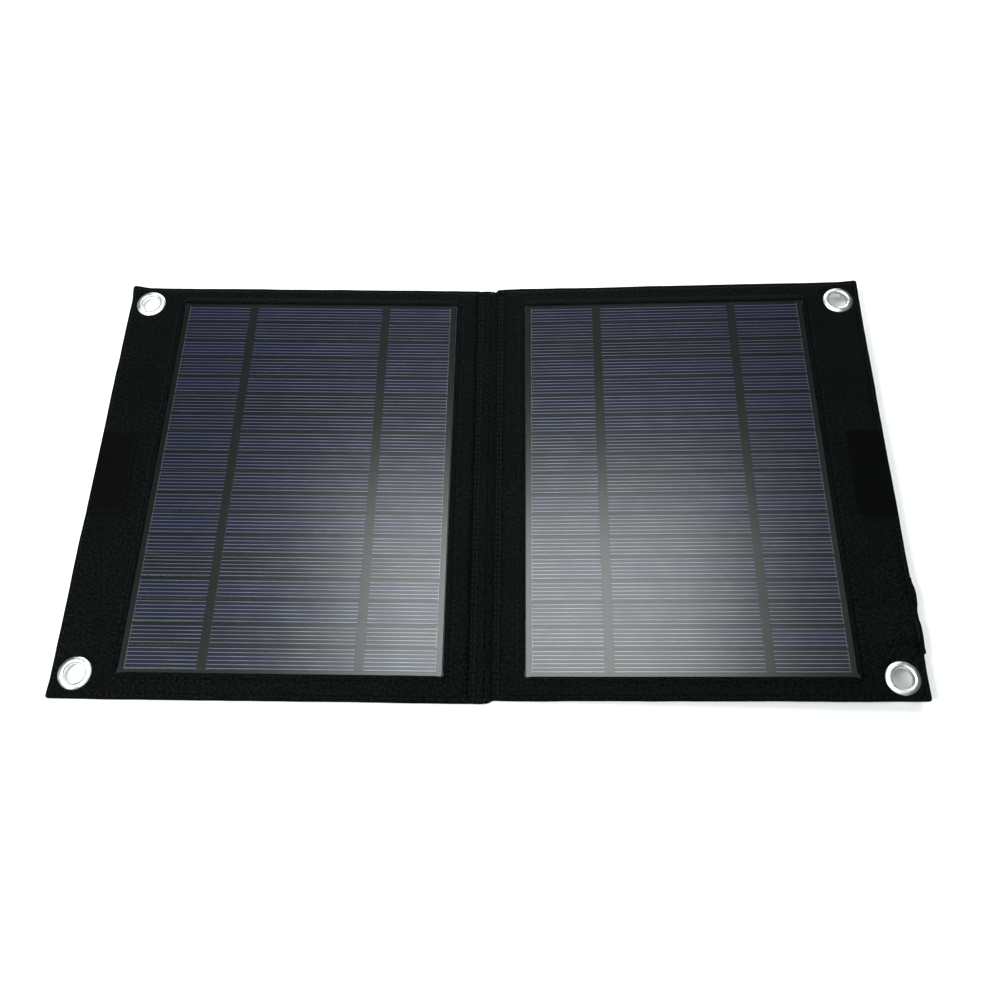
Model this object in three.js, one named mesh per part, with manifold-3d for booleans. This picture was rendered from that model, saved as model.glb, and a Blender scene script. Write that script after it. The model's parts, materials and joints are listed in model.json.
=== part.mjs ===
// Folding two-leaf solar panel in a fabric folder, millimetres, +Z up.
// Two flat leaves, each a sewn fabric cover round a stiff board with a cell module in its window,
// are joined by a narrow fabric spine with a crease at each side. A slim charge regulator sits in
// a sleeve under the right leaf, which therefore leans a little when the panel lies open.
// X runs across the open leaves, Y along the spine, and the origin is at the spine's middle,
// on the surface that the panel lies on.

import * as THREE from 'three';
import { mergeVertices } from 'three/addons/utils/BufferGeometryUtils.js';
import Module from 'manifold-3d';

const wasm = await Module();
wasm.setup();

// ---- Driving dimensions ---------------------------------------------------------------------

// Folder
const spineWidth = 12;          // crease to crease
const innerMargin = 15;         // from a crease to the laminate
const outerMargin = 34.3;       // from the laminate to a leaf's outer edge
const endMargin = 11.65;        // from the laminate to a leaf's ends, along the spine
const leafCorner = 4;           // radius of a leaf's corners
const fabric = 0.7;             // one sewn layer of cover fabric
const hem = 2.6;                // turned-in edge that closes a cover round its board
const boardThickness = 1.6;

// Clearances
const bond = 0.15;              // between layers that are glued or sewn together
const fit = 0.3;                // round a piece in its seat
const creaseClearance = 0.4;    // between a leaf and the spine when the crease is folded square

// Cell module
const stripCount = 18;
const stripLength = 156.5;
const stripWidth = 11.4;
const stripGap = 0.9;
const cellThickness = 0.2;
const ribbonWidth = 4.8;
const ribbonSpacing = 79;       // between the centre lines of the two ribbons
const ribbonThickness = 0.12;
const backsheetThickness = 0.8;
const filmThickness = 0.6;
const moduleRim = 3.1;          // laminate past the cells, all round
const moduleCorner = 2.5;
const windowGap = 1;            // between the laminate and the edge of the fabric window

// Eyelets, one in each outer corner
const eyeletHole = 10.5;
const eyeletOuter = 17;
const eyeletWall = 0.7;
const eyeletEdge = 4;           // flange to the leaf's edges
const flangeHeight = 0.9;
const rollHeight = 0.4;
const rollWidth = 1.3;          // how far the rolled end reaches past the barrel
const washerThickness = 0.5;
const seatMargin = 0.5;         // flat fabric seat past the flange
const roundSegments = 32;

// Hook and loop closure
const patchWidth = 20;
const patchLength = 50;
const patchInset = 1;           // patch to the leaf's outer edge
const hookHeight = 1.7;
const loopHeight = 1.9;

// Wiring inside the leaves
const leadWidth = 2.6;
const leadThickness = 0.9;
const junction = { length: 18, width: 10, thickness: 1.3, inset: 12 };

// Charge regulator
const regulatorLength = 30;     // away from its mouth
const regulatorWidth = 38;
const regulatorHeight = 7.6;
const shellFace = 0.8;
const shellWall = 1.2;
const circuitThickness = 0.8;
const socket = { width: 13.1, height: 5.7, depth: 14, sheet: 0.35 };
const tongue = { width: 11, thickness: 1.8, length: 9, recess: 1, block: 3.6 };
const lens = { radius: 1.2, length: 2, offset: 12.5 };
const inductor = { size: 7, height: 2 };
const chip = { length: 5, width: 4, height: 1 };

// Regulator sleeve and its flap
const sleeveToEyelet = 4;       // along the spine
const mouthInset = 3;           // sleeve mouth to the leaf's outer edge
const mouthRecess = 3;          // regulator behind the sleeve mouth
const flapLip = 22;             // how far the flap reaches back under the sleeve
const pullTab = { length: 6, reach: 2.4, thickness: 1.2, drop: 6 };

// ---- Derived sizes and places ---------------------------------------------------------------

const stringDepth = stripCount * stripWidth + (stripCount - 1) * stripGap;
const moduleWidth = stripLength + 2 * moduleRim;
const moduleDepth = stringDepth + 2 * moduleRim;
const moduleStart = innerMargin;
const moduleEnd = moduleStart + moduleWidth;
const moduleMiddle = (moduleStart + moduleEnd) / 2;

const leafWidth = moduleEnd + outerMargin;
const leafDepth = moduleDepth + 2 * endMargin;
const spineThickness = 2 * fabric + leadThickness + 2 * bond;
const creaseHeight = spineThickness / 2;
const leafStart = creaseHeight + creaseClearance;    // where a leaf's solids begin, past the crease
const spineStart = fabric;                           // where the spine's solids begin

const level = stackLevels();

const barrelRadius = eyeletHole / 2 + eyeletWall;
const fabricHole = barrelRadius + fit / 2;
const seatRadius = eyeletOuter / 2 + seatMargin;
const seatOuter = seatRadius + fabric;
const eyeletU = leafWidth - eyeletEdge - eyeletOuter / 2;
const eyeletY = leafDepth / 2 - eyeletEdge - eyeletOuter / 2;

const patchEnd = leafWidth - patchInset;
const patchStart = patchEnd - patchWidth;

const junctionStart = moduleStart + junction.inset;
const junctionEnd = junctionStart + junction.length;

const regulatorTop = -(bond + fit);
const regulatorBottom = regulatorTop - regulatorHeight;
const regulatorMiddle = (regulatorTop + regulatorBottom) / 2;
const sleeveEnd = leafWidth - mouthInset;
const regulatorEnd = sleeveEnd - mouthRecess;
const regulatorStart = regulatorEnd - regulatorLength;
const sleeveStart = regulatorStart - fit - fabric;
const sleeveHalf = regulatorWidth / 2 + fit + fabric;
const sleeveBottom = regulatorBottom - fit - fabric;
const regulatorY = sleeveHalf + sleeveToEyelet + eyeletOuter / 2 - eyeletY;   // its middle
const flapStart = leafWidth + fit;
const flapEnd = flapStart + fabric;
const flapTop = level.frontTop - fabric;
const flapBottom = sleeveBottom - fit - fabric;
const lipStart = flapEnd - flapLip;
const dropU = regulatorStart + shellWall + leadWidth + fit;

// The right leaf leans on whichever of the sleeve and the flap's lip touches the surface first.
const lean = Math.max(leanOn(sleeveStart, sleeveBottom), leanOn(lipStart, flapBottom));

// Heights of the layers above a leaf's back face.
function stackLevels() {
    const board = fabric + bond;
    const boardTop = board + boardThickness;
    const front = boardTop + bond;
    const backsheetTop = front + backsheetThickness;
    const cells = backsheetTop + bond;
    const cellsTop = cells + cellThickness;
    const ribbons = cellsTop + bond;
    const ribbonsTop = ribbons + ribbonThickness;
    const washer = rollHeight + bond;
    const backSeat = washer + washerThickness + bond;
    const frontSeat = backSeat + fabric + bond;
    const flange = frontSeat + fabric + bond;
    return {
        board, boardTop, front, frontTop: front + fabric, backsheetTop, cells, cellsTop,
        ribbons, ribbonsTop, film: cells, filmRoof: ribbonsTop + bond,
        filmTop: ribbonsTop + bond + filmThickness, washer, backSeat, frontSeat, flange,
    };
}

// Angle at which a leaf rests when its point (u, z) touches the surface and its crease is down.
function leanOn(u, z) {
    const reach = Math.hypot(u, creaseHeight - z);
    return Math.atan2(creaseHeight - z, u) - Math.asin(creaseHeight / reach);
}

// ---- Materials ------------------------------------------------------------------------------

const finish = (color, roughness, metalness = 0) =>
    new THREE.MeshStandardMaterial({ color, roughness, metalness });

const coverCloth = () => finish(0x171b1a, 0.9);
const sleeveCloth = () => finish(0x1b1f1e, 0.92);
const boardStock = () => finish(0x4a4d4c, 0.7);
const backsheetLaminate = () => finish(0x141a17, 0.6);
const silicon = () => finish(0x1b2550, 0.35, 0.1);
const coatedRibbon = () => finish(0x24272b, 0.55, 0.2);
const frontLaminate = () => finish(0x5a6470, 0.3);
const platedSteel = () => finish(0xd4d6d8, 0.2, 1);
const hookTape = () => finish(0x121514, 0.95);
const loopTape = () => finish(0x0c0e0e, 1);
const leadJacket = () => finish(0x101010, 0.6);
const potting = () => finish(0x1c1c1c, 0.5);
const regulatorShell = () => finish(0x1a1b1c, 0.55);
const circuitLaminate = () => finish(0x1d5a38, 0.6);
const tonguePlastic = () => finish(0xe4e4de, 0.5);
const lensPlastic = () => finish(0xc63a2e, 0.25);
const ferrite = () => finish(0x3a3a3c, 0.7);
const chipResin = () => finish(0x151515, 0.45);
const tabWebbing = () => finish(0x202423, 0.95);

// ---- Solids ---------------------------------------------------------------------------------

function toSolid(geometry) {
    const bare = new THREE.BufferGeometry();
    bare.setAttribute('position', geometry.getAttribute('position').clone());
    if (geometry.index) bare.setIndex(geometry.index.clone());
    const merged = mergeVertices(bare, 1e-5);
    return new wasm.Manifold(new wasm.Mesh({
        numProp: 3,
        vertProperties: new Float32Array(merged.getAttribute('position').array),
        triVerts: new Uint32Array(merged.index.array),
    }));
}

function toGeometry(solid) {
    const mesh = solid.getMesh();
    const geometry = new THREE.BufferGeometry();
    geometry.setAttribute('position', new THREE.BufferAttribute(mesh.vertProperties, 3));
    geometry.setIndex(new THREE.BufferAttribute(mesh.triVerts, 1));
    geometry.computeVertexNormals();
    return geometry;
}

const join = (...shapes) =>
    toGeometry(shapes.map(toSolid).reduce((whole, next) => whole.add(next)));

const cut = (shape, ...tools) =>
    toGeometry(tools.map(toSolid).reduce((rest, tool) => rest.subtract(tool), toSolid(shape)));

// Box between two corners given as ranges, in either order.
function box([xa, xb], [ya, yb], [za, zb]) {
    const geometry = new THREE.BoxGeometry(Math.abs(xb - xa), Math.abs(yb - ya), Math.abs(zb - za));
    return geometry.translate((xa + xb) / 2, (ya + yb) / 2, (za + zb) / 2);
}

// Plate with rounded corners between two corners, flat in Z.
function plate([xa, xb], [ya, yb], [za, zb], radius) {
    const [left, right] = [Math.min(xa, xb), Math.max(xa, xb)];
    const outline = new THREE.Shape();
    outline.absarc(right - radius, yb - radius, radius, 0, Math.PI / 2);
    outline.absarc(left + radius, yb - radius, radius, Math.PI / 2, Math.PI);
    outline.absarc(left + radius, ya + radius, radius, Math.PI, 1.5 * Math.PI);
    outline.absarc(right - radius, ya + radius, radius, 1.5 * Math.PI, 2 * Math.PI);
    const extrusion = { depth: zb - za, bevelEnabled: false, curveSegments: 6 };
    return new THREE.ExtrudeGeometry(outline, extrusion).translate(0, 0, za);
}

// Ring or disc turned round Z from a closed profile of [radius, height] points.
function turned(profile, x, y) {
    const points = [...profile, profile[0]].map(([radius, height]) => new THREE.Vector2(radius, height));
    const lathe = new THREE.LatheGeometry(points, roundSegments);
    return lathe.rotateX(Math.PI / 2).translate(x, y, 0);
}

const ring = (inner, outer, [za, zb], x, y) =>
    turned([[inner, za], [outer, za], [outer, zb], [inner, zb]], x, y);

function disc(radius, [za, zb], x, y) {
    const cylinder = new THREE.CylinderGeometry(radius, radius, zb - za, roundSegments);
    return cylinder.rotateX(Math.PI / 2).translate(x, y, (za + zb) / 2);
}

function add(group, name, geometry, material) {
    const mesh = new THREE.Mesh(geometry, material);
    mesh.name = name;
    group.add(mesh);
}

const around = (middle, size) => [middle - size / 2, middle + size / 2];
const through = [-20, 20];      // tall enough to pass through any layer of a leaf

// ---- One leaf: u runs from its crease (0) to its outer edge, on the side of the given sign ---

function leafFrame(side) {
    return {
        side,
        range: (start, end) => [side * start, side * end],
        eyelets: [['top', eyeletY], ['bottom', -eyeletY]],
    };
}

// Channel in the board for the flat lead, from the crease to the given u.
const leadChannel = (leaf, end, [za, zb]) =>
    box(leaf.range(0, end), around(regulatorY, leadWidth + 2 * fit), [za, zb]);

// Fabric tray: face, hems, the module's window and a pinched seat round each eyelet.
function frontCover(leaf, channelHeight) {
    const { range, side } = leaf;
    const half = leafDepth / 2;
    const tray = plate(range(leafStart, leafWidth), [-half, half], [level.board, level.frontTop], leafCorner);
    const hollow = box(range(leafStart + hem, leafWidth - hem), [hem - half, half - hem],
        [level.board - 1, level.front]);
    const window = plate(range(moduleStart - windowGap, moduleEnd + windowGap),
        around(0, moduleDepth + 2 * windowGap), through, moduleCorner + windowGap);
    const holes = leaf.eyelets.map(([, y]) => disc(seatOuter - fabric / 2, through, side * eyeletU, y));
    const channel = leadChannel(leaf, leafStart + hem + 1, [0, channelHeight]);
    const seats = leaf.eyelets.map(([, y]) => turned([
        [fabricHole, level.frontSeat], [seatOuter, level.frontSeat], [seatOuter, level.frontTop],
        [seatRadius, level.frontTop], [seatRadius, level.frontSeat + fabric],
        [fabricHole, level.frontSeat + fabric],
    ], side * eyeletU, y));
    return join(cut(tray, hollow, window, channel, ...holes), ...seats);
}

function backCover(leaf, ...openings) {
    const { range, side } = leaf;
    const half = leafDepth / 2;
    const sheet = plate(range(leafStart, leafWidth), [-half, half], [0, fabric], leafCorner);
    const holes = leaf.eyelets.map(([, y]) => disc(seatOuter - fabric / 2, through, side * eyeletU, y));
    const seats = leaf.eyelets.map(([, y]) => turned([
        [seatRadius, 0], [seatOuter, 0], [seatOuter, level.backSeat + fabric],
        [fabricHole, level.backSeat + fabric], [fabricHole, level.backSeat], [seatRadius, level.backSeat],
    ], side * eyeletU, y));
    return join(cut(sheet, ...holes, ...openings), ...seats);
}

// Stiff board inside the covers, with its outer corners cut away for the eyelets, and open round
// the junction and the lead's channel.
function stiffener(leaf, channelEnd) {
    const { range } = leaf;
    const edge = hem + fit;
    const half = leafDepth / 2 - edge;
    const layer = [level.board, level.boardTop];
    const sheet = box(range(leafStart + edge, leafWidth - edge), [-half, half], layer);
    const clear = seatOuter + fit;
    const corners = leaf.eyelets.map(([, y]) => box(range(eyeletU - clear, leafWidth),
        [y - Math.sign(y) * clear, Math.sign(y) * leafDepth / 2], through));
    const pocket = box(range(junctionStart - fit, junctionEnd + fit),
        around(regulatorY, junction.width + 2 * fit), through);
    return cut(sheet, ...corners, pocket, leadChannel(leaf, channelEnd, through));
}

// The strips of one module, soldered into a string by two flat tabs under the ribbons: a sheet
// with each gap between strips cut through, up to the tabs.
function cellString(leaf) {
    const middle = leaf.side * moduleMiddle;
    const pitch = stripWidth + stripGap;
    const sheet = box(around(middle, stripLength), around(0, stringDepth), [level.cells, level.cellsTop]);
    const tab = (end) => around(middle + end * ribbonSpacing / 2, ribbonWidth);
    const slots = [[middle - stripLength, tab(-1)[0]], [tab(-1)[1], tab(1)[0]],
        [tab(1)[1], middle + stripLength]];
    const gaps = Array.from({ length: stripCount - 1 }, (_, row) => (row + 1 - stripCount / 2) * pitch);
    return cut(sheet, ...gaps.flatMap((y) => slots.map((slot) => box(slot, around(y, stripGap), through))));
}

function ribbon(leaf, u) {
    return box(around(leaf.side * u, ribbonWidth), around(0, stringDepth), [level.ribbons, level.ribbonsTop]);
}

// Clear front laminate with a rim that comes down round the cells onto the backsheet.
function frontFilm(leaf) {
    const middle = leaf.side * moduleMiddle;
    const blank = plate(around(middle, moduleWidth), around(0, moduleDepth),
        [level.film, level.filmTop], moduleCorner);
    const hollow = box(around(middle, stripLength + 2 * fit), around(0, stringDepth + 2 * fit),
        [level.film - 1, level.filmRoof]);
    return cut(blank, hollow);
}

// Barrel with a rolled flange on the front and its end rolled over the washer at the back.
function eyelet(leaf, y) {
    const bore = eyeletHole / 2;
    const outer = eyeletOuter / 2;
    const top = level.flange + flangeHeight;
    const shoulder = flangeHeight / 2;
    return turned([
        [bore, 0], [barrelRadius + rollWidth, 0], [barrelRadius + rollWidth, rollHeight],
        [barrelRadius, rollHeight], [barrelRadius, level.flange], [outer, level.flange],
        [outer, top - shoulder], [outer - shoulder, top], [bore + shoulder, top], [bore, top - shoulder],
    ], leaf.side * eyeletU, y);
}

const washer = (leaf, y) =>
    ring(fabricHole, eyeletOuter / 2, [level.washer, level.washer + washerThickness], leaf.side * eyeletU, y);

function patch(leaf, height) {
    const bottom = level.frontTop + bond;
    return box(leaf.range(patchStart, patchEnd), around(0, patchLength), [bottom, bottom + height]);
}

const leadBottom = level.board;
const leadTop = leadBottom + leadThickness;

const junctionBlock = (leaf) => box(leaf.range(junctionStart, junctionEnd),
    around(regulatorY, junction.width), [level.board, level.board + junction.thickness]);

const leafLead = (leaf) => box(leaf.range(leafStart, junctionStart - fit),
    around(regulatorY, leadWidth), [leadBottom, leadTop]);

function buildLeaf(group, label, side, closure, channelEnd, ...backOpenings) {
    const leaf = leafFrame(side);
    add(group, `${label}_front_cover`, frontCover(leaf, leadTop + fit), coverCloth());
    add(group, `${label}_back_cover`, backCover(leaf, ...backOpenings), coverCloth());
    add(group, `${label}_stiffener_board`, stiffener(leaf, channelEnd), boardStock());
    add(group, `${label}_module_backsheet`, plate(around(side * moduleMiddle, moduleWidth),
        around(0, moduleDepth), [level.front, level.backsheetTop], moduleCorner), backsheetLaminate());
    add(group, `${label}_cell_string`, cellString(leaf), silicon());
    add(group, `${label}_inner_ribbon`, ribbon(leaf, moduleMiddle - ribbonSpacing / 2), coatedRibbon());
    add(group, `${label}_outer_ribbon`, ribbon(leaf, moduleMiddle + ribbonSpacing / 2), coatedRibbon());
    add(group, `${label}_front_laminate`, frontFilm(leaf), frontLaminate());
    add(group, `${label}_junction_block`, junctionBlock(leaf), potting());
    add(group, `${label}_lead`, leafLead(leaf), leadJacket());
    for (const [place, y] of leaf.eyelets) {
        add(group, `${label}_${place}_eyelet`, eyelet(leaf, y), platedSteel());
        add(group, `${label}_${place}_washer`, washer(leaf, y), platedSteel());
    }
    add(group, `${label}_${closure.name}`, patch(leaf, closure.height), closure.material());
}

// ---- Spine ----------------------------------------------------------------------------------

function buildSpine(group) {
    const span = around(0, spineWidth - 2 * spineStart);
    const depth = around(0, leafDepth);
    const lead = fabric + bond;
    add(group, 'spine_back_band', box(span, depth, [0, fabric]), coverCloth());
    add(group, 'spine_front_band', box(span, depth, [spineThickness - fabric, spineThickness]), coverCloth());
    add(group, 'spine_lead', box(span, around(regulatorY, leadWidth), [lead, lead + leadThickness]),
        leadJacket());
}

// ---- Charge regulator, under the right leaf (z is below the leaf's back face) -----------------

// One half of the shell: a face and walls, open at the split, and cut for the socket and lens.
function regulatorShellHalf(faceZ, splitZ) {
    const [low, high] = [Math.min(faceZ, splitZ), Math.max(faceZ, splitZ)];
    const inward = Math.sign(splitZ - faceZ);
    const blank = plate([regulatorStart, regulatorEnd], around(regulatorY, regulatorWidth), [low, high], 2);
    const hollow = box([regulatorStart + shellWall, regulatorEnd - shellWall],
        around(regulatorY, regulatorWidth - 2 * shellWall), [faceZ + inward * shellFace, splitZ + inward]);
    const mouth = box([regulatorEnd - 2 * shellWall, regulatorEnd + 1],
        around(regulatorY, socket.width + fit), around(regulatorMiddle, socket.height + fit));
    return cut(blank, hollow, mouth, lensBody(lens.radius + bond, lens.length + 2));
}

function lensBody(radius, length) {
    const cylinder = new THREE.CylinderGeometry(radius, radius, length, 16);
    return cylinder.rotateZ(Math.PI / 2).translate(regulatorEnd - lens.length / 2,
        regulatorY + lens.offset, regulatorMiddle);
}

// Folded sheet shell of the output socket, open at its mouth.
function socketShell() {
    const { width, height, depth, sheet } = socket;
    const blank = box([regulatorEnd - depth, regulatorEnd], around(regulatorY, width),
        around(regulatorMiddle, height));
    const bore = box([regulatorEnd - depth + sheet, regulatorEnd + 1], around(regulatorY, width - 2 * sheet),
        around(regulatorMiddle, height - 2 * sheet));
    return cut(blank, bore);
}

// Contact tongue on the block that fills the back of the socket.
function socketTongue() {
    const { width, height, depth, sheet } = socket;
    const back = regulatorEnd - depth + sheet + bond;
    const inner = 2 * (sheet + bond);
    const block = box([back, back + tongue.block], around(regulatorY, width - inner),
        around(regulatorMiddle, height - inner));
    const blade = box([back + tongue.block - 1, back + tongue.block + tongue.length - tongue.recess],
        around(regulatorY, tongue.width), around(regulatorMiddle + 0.6, tongue.thickness));
    return join(block, blade);
}

// Board of the regulator, notched for the socket.
function circuitBoard() {
    const wall = shellWall + fit;
    const sheet = box([regulatorStart + wall, regulatorEnd - wall],
        around(regulatorY, regulatorWidth - 2 * wall), around(regulatorMiddle, circuitThickness));
    const notch = box([regulatorEnd - socket.depth - fit, regulatorEnd],
        around(regulatorY, socket.width + 2 * fit), through);
    const lensNotch = box([regulatorEnd - lens.length - wall, regulatorEnd],
        around(regulatorY + lens.offset, 2 * (lens.radius + fit)), through);
    return cut(sheet, notch, lensNotch);
}

// Lead from the right leaf's junction, along the board's channel and down into the regulator.
function outputLead() {
    const run = box([junctionEnd + fit, dropU], around(regulatorY, leadWidth), [leadBottom, leadTop]);
    const drop = box([dropU - leadWidth, dropU], around(regulatorY, leadWidth),
        [regulatorMiddle + circuitThickness / 2 + bond, leadTop]);
    return join(run, drop);
}

const leadHole = () => box([dropU - leadWidth - fit, dropU + fit],
    around(regulatorY, leadWidth + 2 * fit), [regulatorTop - shellFace - bond, fabric + 1]);

function buildRegulator(group) {
    const half = bond / 2;
    const below = regulatorMiddle - circuitThickness / 2 - bond;
    const backRow = regulatorStart + shellWall + 2 * fit;
    add(group, 'regulator_base', cut(regulatorShellHalf(regulatorTop, regulatorMiddle + half), leadHole()),
        regulatorShell());
    add(group, 'regulator_lid', regulatorShellHalf(regulatorBottom, regulatorMiddle - half),
        regulatorShell());
    add(group, 'regulator_circuit_board', circuitBoard(), circuitLaminate());
    add(group, 'output_socket_shell', socketShell(), platedSteel());
    add(group, 'output_socket_tongue', socketTongue(), tonguePlastic());
    add(group, 'status_lens', lensBody(lens.radius, lens.length), lensPlastic());
    add(group, 'inductor', box([backRow, backRow + inductor.size],
        around(regulatorY - regulatorWidth / 4, inductor.size), [below - inductor.height, below]), ferrite());
    add(group, 'controller_chip', box([backRow, backRow + chip.length],
        around(regulatorY + regulatorWidth / 4, chip.width), [below - chip.height, below]), chipResin());
    add(group, 'output_lead', outputLead(), leadJacket());
}

// Fabric sleeve sewn under the leaf, open towards the outer edge.
function regulatorSleeve() {
    const blank = plate([sleeveStart, sleeveEnd + leafCorner], around(regulatorY, 2 * sleeveHalf),
        [sleeveBottom, -bond], 3);
    const hollow = box([sleeveStart + fabric, leafWidth + leafCorner],
        around(regulatorY, 2 * (sleeveHalf - fabric)), [sleeveBottom + fabric, 1]);
    const mouth = box([sleeveEnd, leafWidth + leafCorner], around(regulatorY, 3 * sleeveHalf),
        [sleeveBottom - 1, 1]);
    return cut(blank, hollow, mouth);
}

// Flap sewn to the leaf's outer edge: down over the sleeve's mouth and back under the sleeve.
function sleeveFlap() {
    const depth = around(regulatorY, 2 * sleeveHalf);
    const wall = box([flapStart, flapEnd], depth, [flapBottom, flapTop]);
    const lip = box([lipStart, flapEnd], depth, [flapBottom, flapBottom + fabric]);
    return join(wall, lip);
}

function flapPullTab() {
    const y = regulatorY - sleeveHalf + pullTab.length / 2;
    const top = flapTop - pullTab.drop;
    return box([flapEnd + bond, flapEnd + bond + pullTab.reach], around(y, pullTab.length),
        [top - pullTab.thickness, top]);
}

// ---- Assembly -------------------------------------------------------------------------------

// A group that turns about a crease: its inner group has its origin at the crease, on the back face.
function creaseGroup(parent, x, angle) {
    const turn = new THREE.Group();
    turn.position.set(x, 0, creaseHeight);
    turn.rotation.y = angle;
    const layers = new THREE.Group();
    layers.position.z = -creaseHeight;
    turn.add(layers);
    parent.add(turn);
    return layers;
}

const panel = new THREE.Group();
const leftLeaf = creaseGroup(panel, -spineWidth / 2, 0);
const rightLeaf = creaseGroup(panel, spineWidth / 2, -lean);

buildLeaf(leftLeaf, 'left', -1, { name: 'hook_patch', height: hookHeight, material: hookTape },
    junctionStart);
buildSpine(panel);
buildLeaf(rightLeaf, 'right', 1, { name: 'loop_patch', height: loopHeight, material: loopTape },
    dropU + fit, leadHole());
buildRegulator(rightLeaf);
add(rightLeaf, 'regulator_sleeve', regulatorSleeve(), sleeveCloth());
add(rightLeaf, 'sleeve_flap', sleeveFlap(), sleeveCloth());
add(rightLeaf, 'flap_pull_tab', flapPullTab(), tabWebbing());

export default panel;
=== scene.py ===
"""Folding two-leaf solar panel: the visible surfaces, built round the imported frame.

Each operator builds one group of pieces in the frame's own coordinates, in metres. A leaf's own
coordinates are u, outward from its crease, y, along the spine, and z, above its back.
"""

import json
import math

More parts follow.
